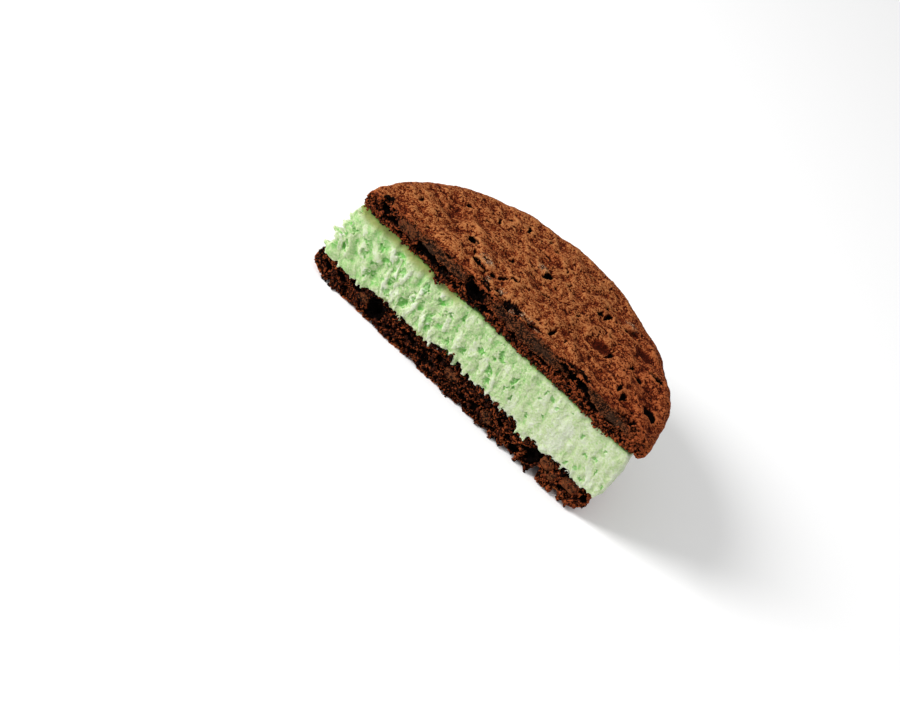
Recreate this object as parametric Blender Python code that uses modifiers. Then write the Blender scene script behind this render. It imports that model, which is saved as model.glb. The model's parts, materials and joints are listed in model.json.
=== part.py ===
"""Half of a round ice cream sandwich, cut straight across and lying on its lower cookie.

A slab of mint ice cream lies between two chocolate cookies, whose flat undersides face it. The cut
face looks along -Y, X runs along the cut and +Z is up. Every piece is first built with the cut at
Y = 0 and the underside at Z = 0, and the whole is then centred over the origin.
"""

import math

import bmesh
import bpy
from mathutils import Matrix, Vector, noise

MM = 0.001

# The whole sandwich
COOKIE_RADIUS = 45.0 * MM
ICE_RADIUS = 44.0 * MM
CENTRE_BEHIND_CUT = 1.2 * MM
JOINT_GAP = 0.3 * MM

# Each layer's height, and how far it has slid along the cut
LOWER_THICKNESS = 8.0 * MM
ICE_THICKNESS = 15.7 * MM
UPPER_THICKNESS = 6.9 * MM
LOWER_SLIDE = -2.9 * MM
ICE_SLIDE = -1.5 * MM
UPPER_SLIDE = 0.0

# The turned blanks
TURN_STEPS = 68
MERGE_DISTANCE = 0.01 * MM
AXIS_RADIUS = 0.001 * MM
CROWN_RISE = 1.3 * MM
CROWN_RINGS = 8
FLAT_RINGS = 2
RIM_STEPS = 5
UNDERCUT_STEPS = 3
ICE_SIDE_STEPS = 8
INNER_RING_SHARE = 0.5
UPPER_SHOULDER = 5.0 * MM
LOWER_SHOULDER = 7.5 * MM
UNDERCUT = 1.8 * MM
RIM_HEIGHT = 0.46
ICE_BELLY = 0.9 * MM

# Unevenness of the blanks, each with a seed of its own for its noise
NOISE_FALL = 1.0
NOISE_STEP = 2.0
NOISE_LAYERS = 2
RIM_WAVE = 0.7 * MM
RIM_WAVE_LENGTH = 10.0 * MM
UPPER_RIM_SEED = 3.0
LOWER_RIM_SEED = 11.0
CRUST_LUMP = 0.55 * MM
CRUST_LUMP_LENGTH = 9.0 * MM
UPPER_CRUST_SEED = 7.0
LOWER_CRUST_SEED = 17.0
UPPER_LUMP_FADE = 0.7
LOWER_LUMP_START = 1.05
LOWER_LUMP_FADE = 0.4
ICE_SIDE_WAVE = 0.8 * MM
ICE_SIDE_WAVE_LENGTH = 5.0 * MM
ICE_SIDE_SEED = 23.0

# The torn faces that the knife leaves
KNIFE_REACH = 8.0 * MM
KNIFE_OVER = 6.0 * MM
KNIFE_MARGIN = 2.0 * MM
WASTE_WIDTH = 3.0 * COOKIE_RADIUS
WASTE_DEPTH = 2.0 * COOKIE_RADIUS
CRUMB_STEP = 1.9 * MM
CRUMB_RELIEF = 0.6 * MM
CRUMB_LENGTH = 3.4 * MM
UPPER_CRUMB_SEED = 31.0
LOWER_CRUMB_SEED = 37.0
LOWER_SET_BACK = 0.45 * MM
ICE_STEP = (1.25 * MM, 1.5 * MM)
ICE_RIDGE = 0.9 * MM
ICE_RIDGE_LENGTH = (2.4 * MM, 8.5 * MM)
ICE_RIDGE_SLANT = 0.22
ICE_RIDGE_SEED = 3.0
ICE_PIT = 0.7 * MM
ICE_PIT_LENGTH = 2.1 * MM
ICE_PIT_STRETCH = 0.7
ICE_PIT_SEED = 9.0 * MM
ICE_PIT_EDGE = (0.05, 0.55)
ICE_SMOOTH_FROM = 14.0 * MM
ICE_SMOOTH_SHARE = 0.45
OVERHANG_RECESS = 0.9 * MM
OVERHANG_HEIGHT = 3.0 * MM
OVERHANG_LEVEL = 0.5 * MM
OVERHANG_FADE = (-18.0 * MM, -10.0 * MM)

# Broad dents (+) and chips that lift the crust (-): place from the cut's middle, radius, depth
CRUST_DENTS = (
    (17.5, 17.0, 5.0, 0.6),
    (27.0, 27.5, 3.5, 0.5),
    (-30.0, 17.0, 6.0, 0.4),
    (-7.5, 31.0, 4.0, 0.4),
    (1.0, 14.0, 5.0, 0.3),
    (-14.0, 8.0, 3.5, -0.5),
    (-5.0, 24.5, 3.0, -0.4),
    (19.0, 33.0, 3.0, -0.4),
    (6.0, 35.0, 5.0, -0.3),
)

# Pits in the upper crust: place, half length, half width, depth, turn in degrees
CRUST_PITS = (
    (-20.3, 12.3, 1.5, 1.0, 1.3, -35),
    (-15.0, 6.0, 2.2, 0.7, 0.9, -10),
    (-2.4, 24.0, 0.7, 1.6, 1.0, -15),
    (21.3, 30.8, 1.8, 1.4, 1.4, 30),
    (33.2, 23.1, 2.0, 1.0, 1.4, 15),
    (38.7, 10.2, 2.0, 1.3, 1.2, 10),
    (33.5, 6.4, 2.1, 1.1, 1.0, 20),
    (22.1, 17.6, 0.7, 3.4, 1.0, -8),
    (14.2, 28.9, 0.7, 1.5, 0.9, -12),
)

# Where the rim falls away under the outermost pits
RIM_FALL = 0.4 * UPPER_SHOULDER
RIM_FALL_START = 0.86

# Breaks in the crust where the knife passed: place along the cut, half length, half height
BROKEN_CRUST = (
    (-9.2, 2.6, 0.8),
    (-1.6, 2.2, 1.1),
    (5.0, 2.6, 0.9),
    (36.6, 2.0, 1.3),
)
BREAK_SET_BACK = 0.6 * MM
BREAK_DEPTH_SHARE = 0.8

# Hollows in the cut faces: place along the cut, height, half length, half height, depth
UPPER_HOLLOWS = (
    (-39.2, 28.1, 0.9, 1.2, 1.6),
    (-19.6, 25.6, 1.7, 1.1, 2.0),
    (-10.4, 27.8, 2.5, 1.6, 3.0),
    (20.4, 28.9, 3.6, 1.0, 2.6),
)
LOWER_HOLLOWS = (
    (-27.0, 4.1, 1.8, 2.3, 3.0),
    (23.3, 4.3, 1.8, 1.8, 3.0),
    (26.9, 0.6, 1.0, 2.4, 2.2),
    (12.0, -0.1, 1.0, 1.2, 1.6),
    (34.0, -0.2, 0.8, 1.2, 1.4),
    (5.4, 3.4, 1.3, 1.1, 1.8),
    (-7.0, 6.2, 1.5, 0.7, 1.6),
)

# Chocolate chunks that the knife went through: name, place, height, length, height, depth, turn
UPPER_CHUNKS = (
    ("chocolate_chunk_upper_1", -32.3, 28.0, 5.2, 2.9, 4.5, 4),
    ("chocolate_chunk_upper_2", -24.4, 28.5, 6.4, 1.9, 5.0, -3),
    ("chocolate_chunk_upper_3", 9.6, 28.6, 8.4, 2.1, 4.0, 2),
    ("chocolate_chunk_upper_4", 33.6, 28.2, 4.6, 2.2, 3.6, -6),
)
LOWER_CHUNKS = (
    ("chocolate_chunk_lower_1", 28.2, 5.9, 3.2, 2.5, 3.4, 8),
    ("chocolate_chunk_lower_2", 35.6, 5.6, 4.0, 2.6, 3.6, -5),
)
CHUNK_ROUNDING = 0.5 * MM
CHUNK_SET_BACK = 0.15 * MM
POCKET_REACH = 2.0 * MM

# Notches in the ice cream's torn left end: height, half length, half height
ICE_END_NOTCHES = (
    (15.0, 1.1, 0.7),
    (11.6, 0.9, 0.6),
)
ICE_NOTCH_DEPTH = 2.5 * MM
ICE_NOTCH_SET_BACK = 0.6 * MM
ICE_END_FLARE = 1.0 * MM
ICE_FLARE_START = 0.6

# Lips of ice cream smeared down over the lower cookie's cut: place, half length, reach below
ICE_LIPS = (
    (-43.5, 2.4, 1.9),
    (-38.0, 2.9, 1.8),
    (-33.2, 1.9, 1.5),
    (18.8, 1.9, 1.5),
    (25.2, 1.4, 1.2),
)
LIP_HALF_THICKNESS = 0.9 * MM
LIP_TURN = 5
LIP_CENTRE = (0.5 * MM, 0.2 * MM)

# Plain colours and roughness of the materials
CRUST_LOOK = ((0.20, 0.052, 0.016), 0.75)
ICE_LOOK = ((0.42, 0.56, 0.27), 0.55)
CHOCOLATE_LOOK = ((0.045, 0.022, 0.014), 0.35)

# Levels worked out from the layers
ICE_BASE = LOWER_THICKNESS + JOINT_GAP
UPPER_BASE = ICE_BASE + ICE_THICKNESS + JOINT_GAP
TOTAL_HEIGHT = UPPER_BASE + UPPER_THICKNESS


def clear_scene():
    for obj in list(bpy.data.objects):
        bpy.data.objects.remove(obj, do_unlink=True)


def new_collection(name):
    collection = bpy.data.collections.new(name)
    bpy.context.scene.collection.children.link(collection)
    return collection


def new_material(name, colour, roughness):
    material = bpy.data.materials.new(name)
    material.use_nodes = True
    shader = material.node_tree.nodes["Principled BSDF"]
    shader.inputs["Base Color"].default_value = (*colour, 1.0)
    shader.inputs["Roughness"].default_value = roughness
    shader.inputs["Metallic"].default_value = 0.0
    return material


def smoothstep(low, high, value):
    share = min(max((value - low) / (high - low), 0.0), 1.0)
    return share * share * (3.0 - 2.0 * share)


def arc(centre_r, centre_z, width, height, start, end, steps):
    """Points of an elliptical arc between two angles in degrees, both ends included."""
    angles = [math.radians(start + (end - start) * i / steps) for i in range(steps + 1)]
    return [(centre_r + width * math.cos(a), centre_z + height * math.sin(a)) for a in angles]


def cookie_profile(thickness, shoulder, crown_rise, rings):
    """The half section of a cookie lying crust up: over the crown, round the rim, back underneath."""
    flat = COOKIE_RADIUS - shoulder
    rim_z = thickness * RIM_HEIGHT
    shoulder_z = thickness - crown_rise
    crown = []
    for i in range(rings):
        share = i / rings
        crown.append((flat * share, thickness - crown_rise * share * share))
    over = arc(flat, rim_z, shoulder, shoulder_z - rim_z, 90, 0, RIM_STEPS)
    under = arc(COOKIE_RADIUS - UNDERCUT, rim_z, UNDERCUT, rim_z, 0, -90, UNDERCUT_STEPS)
    middle = [(COOKIE_RADIUS * INNER_RING_SHARE, 0.0), (0.0, 0.0)]
    return crown + over + under[1:] + middle


def turned(name, profile, collection):
    """A solid of revolution about its own Z axis, as a plain mesh."""
    mesh = bpy.data.meshes.new(name)
    edges = [(i, i + 1) for i in range(len(profile) - 1)]
    mesh.from_pydata([(r, 0.0, z) for r, z in profile], edges, [])
    obj = bpy.data.objects.new(name, mesh)
    collection.objects.link(obj)
    screw = obj.modifiers.new("Turn", "SCREW")
    screw.steps = TURN_STEPS
    screw.render_steps = TURN_STEPS
    screw.use_merge_vertices = True
    screw.merge_threshold = MERGE_DISTANCE
    bpy.context.view_layer.objects.active = obj
    bpy.ops.object.modifier_apply(modifier=screw.name)
    return obj


def lumpy(point, length, seed):
    """Soft noise from -1 to 1 that changes over the given length."""
    place = point / length + Vector((seed, 0.0, 0.0))
    return noise.fractal(place, NOISE_FALL, NOISE_STEP, NOISE_LAYERS)


def wavy_rim(point, wave, length, seed):
    """The point moved in or out from the turning axis, most at the rim and not at all at the middle."""
    radius = math.hypot(point.x, point.y)
    if radius < AXIS_RADIUS:
        return point.copy()
    share = (radius / COOKIE_RADIUS) ** 2
    moved = radius + wave * share * lumpy(point, length, seed)
    return Vector((point.x * moved / radius, point.y * moved / radius, point.z))


def crust_dent(x, y):
    """How far the upper crust is pushed down at a place, from its dents and lifted chips."""
    sunk = 0.0
    for dent_x, dent_y, radius, depth in CRUST_DENTS:
        distance = math.hypot(x - dent_x * MM, y - dent_y * MM) / (radius * MM)
        sunk += depth * MM * math.exp(-distance * distance)
    return sunk


def upper_blank(collection):
    """The upper cookie before it is cut: domed, lumpy and dented, with its flat face below."""
    profile = cookie_profile(UPPER_THICKNESS, UPPER_SHOULDER, CROWN_RISE, CROWN_RINGS)
    obj = turned("top_cookie", profile, collection)
    for vertex in obj.data.vertices:
        point = wavy_rim(vertex.co, RIM_WAVE, RIM_WAVE_LENGTH, UPPER_RIM_SEED)
        crust = smoothstep(0.0, UPPER_THICKNESS * UPPER_LUMP_FADE, point.z)
        dent = crust_dent(point.x + UPPER_SLIDE, point.y + CENTRE_BEHIND_CUT)
        lump = CRUST_LUMP * lumpy(point, CRUST_LUMP_LENGTH, UPPER_CRUST_SEED)
        point.z += crust * (lump - dent)
        vertex.co = point
    obj.location = (UPPER_SLIDE, CENTRE_BEHIND_CUT, UPPER_BASE)
    return obj


def lower_blank(collection):
    """The lower cookie before it is cut: turned over, so that it rests on the flat of its crust."""
    profile = cookie_profile(LOWER_THICKNESS, LOWER_SHOULDER, 0.0, FLAT_RINGS)
    upturned = [(r, LOWER_THICKNESS - z) for r, z in reversed(profile)]
    obj = turned("bottom_cookie", upturned, collection)
    flat = COOKIE_RADIUS - LOWER_SHOULDER
    for vertex in obj.data.vertices:
        point = wavy_rim(vertex.co, RIM_WAVE, RIM_WAVE_LENGTH, LOWER_RIM_SEED)
        radius = math.hypot(point.x, point.y)
        crust = smoothstep(flat * LOWER_LUMP_START, COOKIE_RADIUS, radius)
        crust *= 1.0 - smoothstep(LOWER_THICKNESS * LOWER_LUMP_FADE, LOWER_THICKNESS, point.z)
        point.z += crust * CRUST_LUMP * lumpy(point, CRUST_LUMP_LENGTH, LOWER_CRUST_SEED)
        vertex.co = point
    obj.location = (LOWER_SLIDE, CENTRE_BEHIND_CUT, 0.0)
    return obj


def ice_blank(collection):
    """The slab of ice cream before it is cut, with its uneven round side bulging a little."""
    half = ICE_THICKNESS / 2
    side = arc(ICE_RADIUS - ICE_BELLY, half, ICE_BELLY, half, 90, -90, ICE_SIDE_STEPS)
    inner = ICE_RADIUS * INNER_RING_SHARE
    top = [(0.0, ICE_THICKNESS), (inner, ICE_THICKNESS)]
    base = [(inner, 0.0), (0.0, 0.0)]
    obj = turned("ice_cream", top + side + base, collection)
    for vertex in obj.data.vertices:
        point = wavy_rim(vertex.co, ICE_SIDE_WAVE, ICE_SIDE_WAVE_LENGTH, ICE_SIDE_SEED)
        spread = ICE_END_FLARE * (1.0 - point.z / ICE_THICKNESS)
        point.x -= spread * smoothstep(ICE_RADIUS * ICE_FLARE_START, ICE_RADIUS, -point.x)
        vertex.co = point
    obj.location = (ICE_SLIDE, CENTRE_BEHIND_CUT, ICE_BASE)
    return obj


def crumbly_relief(seed, set_back):
    """The depth of a cookie's torn cut, as a function of the place along it and the height."""

    def depth(x, z):
        return set_back + CRUMB_RELIEF * lumpy(Vector((x, 0.0, z)), CRUMB_LENGTH, seed)

    return depth


def icy_relief(x, z):
    """The depth of the ice cream's torn cut: slanting ridges, icy pits and the overhang's recess."""
    along, up = ICE_RIDGE_LENGTH
    height = z - ICE_BASE
    slanted = (x + ICE_RIDGE_SLANT * height) / along
    strength = 1.0 - (1.0 - ICE_SMOOTH_SHARE) * smoothstep(-ICE_SMOOTH_FROM, ICE_SMOOTH_FROM, x)
    ridges = ICE_RIDGE * strength * noise.noise(Vector((slanted, ICE_RIDGE_SEED, z / up)))
    pits = noise.noise(Vector((x, ICE_PIT_SEED, z * ICE_PIT_STRETCH)) / ICE_PIT_LENGTH)
    pits = ICE_PIT * strength * smoothstep(*ICE_PIT_EDGE, pits)
    under = smoothstep(ICE_THICKNESS - OVERHANG_HEIGHT, ICE_THICKNESS - OVERHANG_LEVEL, height)
    under *= 1.0 - smoothstep(*OVERHANG_FADE, x)
    return ridges + pits + OVERHANG_RECESS * under


def grid_block(name, size, centre, steps, depth, collection):
    """A closed block in front of the cut, whose back face carries the relief given by depth."""
    columns = max(2, round(size[0] / steps[0]))
    rows = max(2, round(size[1] / steps[1]))
    bm = bmesh.new()
    upright = Matrix.Translation((centre[0], 0.0, centre[1])) @ Matrix.Rotation(math.pi / 2, 4, "X")
    bmesh.ops.create_grid(
        bm,
        x_segments=columns,
        y_segments=rows,
        size=0.5,
        matrix=upright @ Matrix.Diagonal((size[0], size[1], 1.0, 1.0)),
    )
    extruded = bmesh.ops.extrude_face_region(bm, geom=bm.faces[:], use_keep_orig=True)
    front = [item for item in extruded["geom"] if isinstance(item, bmesh.types.BMVert)]
    back = [vertex for vertex in bm.verts if vertex not in set(front)]
    for vertex in front:
        vertex.co.y = -KNIFE_REACH
    for vertex in back:
        vertex.co.y = depth(vertex.co.x, vertex.co.z)
    bmesh.ops.recalc_face_normals(bm, faces=bm.faces[:])
    return cutter_from(bm, name, collection)


def cutter_from(bm, name, collection):
    """A hidden cutter whose faces are triangles, so that every one of them is flat."""
    bmesh.ops.triangulate(bm, faces=bm.faces[:])
    mesh = bpy.data.meshes.new(name)
    bm.to_mesh(mesh)
    bm.free()
    obj = bpy.data.objects.new(name, mesh)
    obj.hide_render = True
    obj.display_type = "WIRE"
    collection.objects.link(obj)
    return obj


def waste_block(name, collection):
    """The block that takes away the other half, well in front of every torn face."""
    bm = bmesh.new()
    centre_y = -(KNIFE_REACH + WASTE_DEPTH) / 2
    place = Matrix.Translation((0.0, centre_y, TOTAL_HEIGHT / 2))
    size = Matrix.Diagonal((WASTE_WIDTH, WASTE_DEPTH, 2.0 * TOTAL_HEIGHT, 1.0))
    bmesh.ops.create_cube(bm, size=1.0, matrix=place @ size)
    return cutter_from(bm, name, collection)


def ellipsoid(bm, centre, radii, turn):
    """A faceted ellipsoid added to a cutter, turned about Z by the given degrees."""
    place = Matrix.Translation(centre) @ Matrix.Rotation(math.radians(turn), 4, "Z")
    stretch = Matrix.Diagonal((*radii, 1.0))
    bmesh.ops.create_icosphere(bm, subdivisions=2, radius=1.0, matrix=place @ stretch)


def upper_hollows(collection):
    """Pits in the upper crust, breaks along its cut edge and hollows in its cut face."""
    bm = bmesh.new()
    for x, y, half_length, half_width, depth, turn in CRUST_PITS:
        from_axis = math.hypot(x * MM - UPPER_SLIDE, y * MM - CENTRE_BEHIND_CUT) / COOKIE_RADIUS
        crust_z = TOTAL_HEIGHT - CROWN_RISE * from_axis**2
        crust_z -= RIM_FALL * smoothstep(RIM_FALL_START, 1.0, from_axis)
        centre = (x * MM, y * MM, crust_z)
        ellipsoid(bm, centre, (half_length * MM, half_width * MM, depth * MM), turn)
    for x, half_length, half_height in BROKEN_CRUST:
        centre = (x * MM, BREAK_SET_BACK, TOTAL_HEIGHT)
        half_depth = half_length * BREAK_DEPTH_SHARE * MM
        ellipsoid(bm, centre, (half_length * MM, half_depth, half_height * MM), 0)
    for x, z, half_length, half_height, depth in UPPER_HOLLOWS:
        ellipsoid(bm, (x * MM, 0.0, z * MM), (half_length * MM, depth * MM, half_height * MM), 0)
    return cutter_from(bm, "upper_hollows", collection)


def lower_hollows(collection):
    """Hollows in the lower cookie's cut face, and the bites out of its underside."""
    bm = bmesh.new()
    for x, z, half_length, half_height, depth in LOWER_HOLLOWS:
        ellipsoid(bm, (x * MM, 0.0, z * MM), (half_length * MM, depth * MM, half_height * MM), 0)
    return cutter_from(bm, "lower_hollows", collection)


def ice_lips(name, grown, collection):
    """The lips below the ice cream's cut edge, or the room they need when grown by a gap."""
    lips = []
    behind, above = LIP_CENTRE
    for x, half_length, reach in ICE_LIPS:
        bm = bmesh.new()
        centre = (x * MM, behind, ICE_BASE + above)
        radii = (half_length * MM, LIP_HALF_THICKNESS, reach * MM + above)
        ellipsoid(bm, centre, [radius + grown for radius in radii], LIP_TURN)
        lips.append(cutter_from(bm, name, collection))
    return lips


def ice_notches(collection):
    """Notches torn in the end of the ice cream, at the cut's left corner."""
    bm = bmesh.new()
    end_x = ICE_SLIDE - ICE_RADIUS
    for z, half_length, half_height in ICE_END_NOTCHES:
        centre = (end_x, ICE_NOTCH_SET_BACK, z * MM)
        ellipsoid(bm, centre, (half_length * MM, ICE_NOTCH_DEPTH, half_height * MM), 0)
    return cutter_from(bm, "ice_notches", collection)


def rounded_block(name, size, rounding):
    """A cube primitive at its true size with its edges bevelled."""
    bpy.ops.mesh.primitive_cube_add(size=1.0)
    obj = bpy.context.active_object
    obj.name = name
    obj.data.name = name
    obj.data.transform(Matrix.Diagonal((*size, 1.0)))
    bevel = obj.modifiers.new("Rounded edges", "BEVEL")
    bevel.width = rounding
    bevel.segments = 1
    return obj


def chunk(spec, collection):
    """A chocolate chunk whose flat front lies in the cut."""
    name, x, z, length, height, depth, turn = spec
    obj = rounded_block(name, (length * MM, depth * MM, height * MM), CHUNK_ROUNDING)
    obj.location = (x * MM, CHUNK_SET_BACK + depth * MM / 2, z * MM)
    obj.rotation_euler = (0.0, math.radians(turn), 0.0)
    move_to(obj, collection)
    return obj


def chunk_pocket(spec, collection):
    """The room that a chunk leaves in its cookie, open at the cut."""
    name, x, z, length, height, depth, turn = spec
    grown = 2 * JOINT_GAP
    reach = depth * MM + JOINT_GAP + POCKET_REACH
    size = (length * MM + grown, reach, height * MM + grown)
    obj = rounded_block(name + "_pocket", size, CHUNK_ROUNDING)
    obj.location = (x * MM, CHUNK_SET_BACK + depth * MM + JOINT_GAP - reach / 2, z * MM)
    obj.rotation_euler = (0.0, math.radians(turn), 0.0)
    obj.hide_render = True
    obj.display_type = "WIRE"
    move_to(obj, collection)
    return obj


def move_to(obj, collection):
    for old in list(obj.users_collection):
        old.objects.unlink(obj)
    collection.objects.link(obj)


def cut(obj, cutters, operation="DIFFERENCE"):
    """Booleans in turn, on a mesh whose faces are first made flat triangles."""
    if not obj.modifiers:
        obj.modifiers.new("Flat faces", "TRIANGULATE")
    for cutter in cutters:
        boolean = obj.modifiers.new(cutter.name, "BOOLEAN")
        boolean.operation = operation
        boolean.solver = "EXACT"
        boolean.object = cutter


def knife(name, base, thickness, steps, depth, collection):
    """The torn face of one layer, from just below it to just above."""
    size = (2.0 * (COOKIE_RADIUS + KNIFE_OVER), thickness + 2.0 * KNIFE_MARGIN)
    centre = (0.0, base + thickness / 2)
    return grid_block(name, size, centre, steps, depth, collection)


def build_upper_cookie(parts, cutters, waste):
    obj = upper_blank(parts)
    steps = (CRUMB_STEP, CRUMB_STEP)
    relief = crumbly_relief(UPPER_CRUMB_SEED, 0.0)
    face = knife("upper_knife", UPPER_BASE, UPPER_THICKNESS, steps, relief, cutters)
    pockets = [chunk_pocket(spec, cutters) for spec in UPPER_CHUNKS]
    cut(obj, [waste, face, upper_hollows(cutters), *pockets])
    return obj


def build_lower_cookie(parts, cutters, waste):
    obj = lower_blank(parts)
    steps = (CRUMB_STEP, CRUMB_STEP)
    relief = crumbly_relief(LOWER_CRUMB_SEED, LOWER_SET_BACK)
    face = knife("lower_knife", 0.0, LOWER_THICKNESS, steps, relief, cutters)
    pockets = [chunk_pocket(spec, cutters) for spec in LOWER_CHUNKS]
    lip_room = ice_lips("lip_room", JOINT_GAP, cutters)
    cut(obj, [waste, face, *lip_room, *pockets, lower_hollows(cutters)])
    return obj


def build_ice_cream(parts, cutters, waste):
    obj = ice_blank(parts)
    face = knife("ice_knife", ICE_BASE, ICE_THICKNESS, ICE_STEP, icy_relief, cutters)
    cut(obj, [waste, face, ice_notches(cutters)])
    cut(obj, ice_lips("ice_lip", 0.0, cutters), "UNION")
    return obj


def shade(obj, material):
    obj.data.materials.append(material)
    obj.data.shade_smooth()


def centre_over_origin(objects):
    """One empty carries every piece, moved so that the whole stands centred on the origin."""
    bpy.context.view_layer.update()
    graph = bpy.context.evaluated_depsgraph_get()
    corners = []
    for obj in objects:
        evaluated = obj.evaluated_get(graph)
        corners += [evaluated.matrix_world @ Vector(corner) for corner in evaluated.bound_box]
    middle_x = (min(c.x for c in corners) + max(c.x for c in corners)) / 2
    middle_y = (min(c.y for c in corners) + max(c.y for c in corners)) / 2
    root = bpy.data.objects.new("sandwich_origin", None)
    bpy.context.scene.collection.objects.link(root)
    for obj in bpy.data.objects:
        if obj is not root:
            obj.parent = root
    root.location = (-middle_x, -middle_y, 0.0)


def main():
    clear_scene()
    parts = new_collection("ice_cream_sandwich")
    cutters = new_collection("cutters")
    crust = new_material("baked_chocolate_crust", *CRUST_LOOK)
    ice = new_material("mint_ice_cream", *ICE_LOOK)
    chocolate = new_material("dark_chocolate", *CHOCOLATE_LOOK)
    waste = waste_block("waste_half", cutters)
    cookies = [
        build_upper_cookie(parts, cutters, waste),
        build_lower_cookie(parts, cutters, waste),
    ]
    for cookie in cookies:
        shade(cookie, crust)
    slab = build_ice_cream(parts, cutters, waste)
    shade(slab, ice)
    chunks = [chunk(spec, parts) for spec in UPPER_CHUNKS + LOWER_CHUNKS]
    for piece in chunks:
        shade(piece, chocolate)
    centre_over_origin([*cookies, slab, *chunks])


main()
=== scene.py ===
"""The looks of a halved mint ice cream sandwich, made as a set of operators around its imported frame."""

import json
import math
import random

import bpy
import numpy as np
from mathutils import Matrix, Vector

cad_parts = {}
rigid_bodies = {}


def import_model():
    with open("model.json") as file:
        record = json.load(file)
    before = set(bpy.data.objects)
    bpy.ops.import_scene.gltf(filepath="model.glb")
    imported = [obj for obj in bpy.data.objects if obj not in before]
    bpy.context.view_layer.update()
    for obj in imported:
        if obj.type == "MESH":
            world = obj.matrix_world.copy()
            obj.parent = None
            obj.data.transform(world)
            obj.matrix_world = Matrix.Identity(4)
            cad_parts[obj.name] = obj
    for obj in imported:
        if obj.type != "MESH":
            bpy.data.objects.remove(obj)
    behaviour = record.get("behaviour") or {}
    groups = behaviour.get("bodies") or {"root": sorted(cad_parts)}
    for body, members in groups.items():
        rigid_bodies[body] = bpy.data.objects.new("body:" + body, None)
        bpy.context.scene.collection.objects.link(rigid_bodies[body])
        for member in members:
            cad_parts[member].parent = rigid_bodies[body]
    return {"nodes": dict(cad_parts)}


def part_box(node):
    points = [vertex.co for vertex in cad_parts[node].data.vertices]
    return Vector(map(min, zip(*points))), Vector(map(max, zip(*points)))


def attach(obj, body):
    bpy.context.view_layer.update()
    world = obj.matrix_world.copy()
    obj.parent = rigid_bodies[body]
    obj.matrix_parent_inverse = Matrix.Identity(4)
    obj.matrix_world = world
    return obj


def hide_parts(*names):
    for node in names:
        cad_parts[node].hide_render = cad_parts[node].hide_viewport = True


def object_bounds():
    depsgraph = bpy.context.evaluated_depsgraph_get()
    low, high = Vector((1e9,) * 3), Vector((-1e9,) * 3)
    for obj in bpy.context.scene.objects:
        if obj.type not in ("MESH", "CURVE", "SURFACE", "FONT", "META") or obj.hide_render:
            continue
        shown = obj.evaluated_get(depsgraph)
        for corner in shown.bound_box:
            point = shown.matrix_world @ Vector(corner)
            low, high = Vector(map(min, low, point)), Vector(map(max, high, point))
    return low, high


bl_info = {
    "name": "Ice Cream Sandwich Half",
    "version": (1, 0, 0),
    "blender": (4, 5, 0),
    "location": "View3D > Sidebar > Sandwich",
    "description": "Bakes two chocolate cookies, fills them with torn mint ice cream and sets the studio",
    "category": "Object",
}

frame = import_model()
CAD_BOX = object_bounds()

MM = 0.001
MERGE_DISTANCE = 0.000002
HIDDEN_SHARE = 0.03
BODY = "root"

# Where the first chocolate chunk lies, measured from the middle of the straight cut
FIRST_CHUNK_ALONG = -32.3 * MM
CHUNK_SET_BACK = 0.15 * MM
FIRST_CHUNK_LOW, FIRST_CHUNK_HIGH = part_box("chocolate_chunk_upper_1")
CUT_X = (FIRST_CHUNK_LOW.x + FIRST_CHUNK_HIGH.x) / 2 - FIRST_CHUNK_ALONG
CUT_Y = FIRST_CHUNK_LOW.y - CHUNK_SET_BACK
ICE_LOW, ICE_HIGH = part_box("ice_cream")
TOP_LOW, TOP_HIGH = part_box("top_cookie")
BASE_LOW, BASE_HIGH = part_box("bottom_cookie")


# ---------------------------------------------------------------- node building


class Wire:
    """An output socket. Arithmetic on it adds Math nodes to its tree."""

    def __init__(self, graph, socket):
        self.graph = graph
        self.socket = socket

    def math(self, operation, *values, clamp=False):
        node = self.graph.tree.nodes.new("ShaderNodeMath")
        node.operation = operation
        node.use_clamp = clamp
        for index, value in enumerate(values):
            self.graph.feed(node.inputs[index], value)
        return Wire(self.graph, node.outputs[0])

    def __add__(self, other):
        return self.math("ADD", self, other)

    __radd__ = __add__

    def __mul__(self, other):
        return self.math("MULTIPLY", self, other)

    __rmul__ = __mul__

    def __sub__(self, other):
        return self.math("SUBTRACT", self, other)

    def __rsub__(self, other):
        return self.math("SUBTRACT", other, self)

    def __truediv__(self, other):
        return self.math("DIVIDE", self, other)

    def __abs__(self):
        return self.math("ABSOLUTE", self)

    def clamped(self):
        return self.math("ADD", self, 0.0, clamp=True)

    def larger(self, other):
        return self.math("MAXIMUM", self, other)

    def above(self, low, high):
        """0 under low, 1 over high, and smooth between."""
        return self.graph.node(
            "ShaderNodeMapRange",
            {"interpolation_type": "SMOOTHSTEP"},
            {"Value": self, "From Min": low, "From Max": high},
        )

    def below(self, low, high):
        return 1.0 - self.above(low, high)

    def within(self, low, high, soft):
        """1 between low and high, and 0 beyond the soft edges."""
        return self.above(low - soft, low + soft) * self.below(high - soft, high + soft)

    def towards(self, share, other):
        """From this value to another, by the share."""
        return self + (other - self) * share


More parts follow.
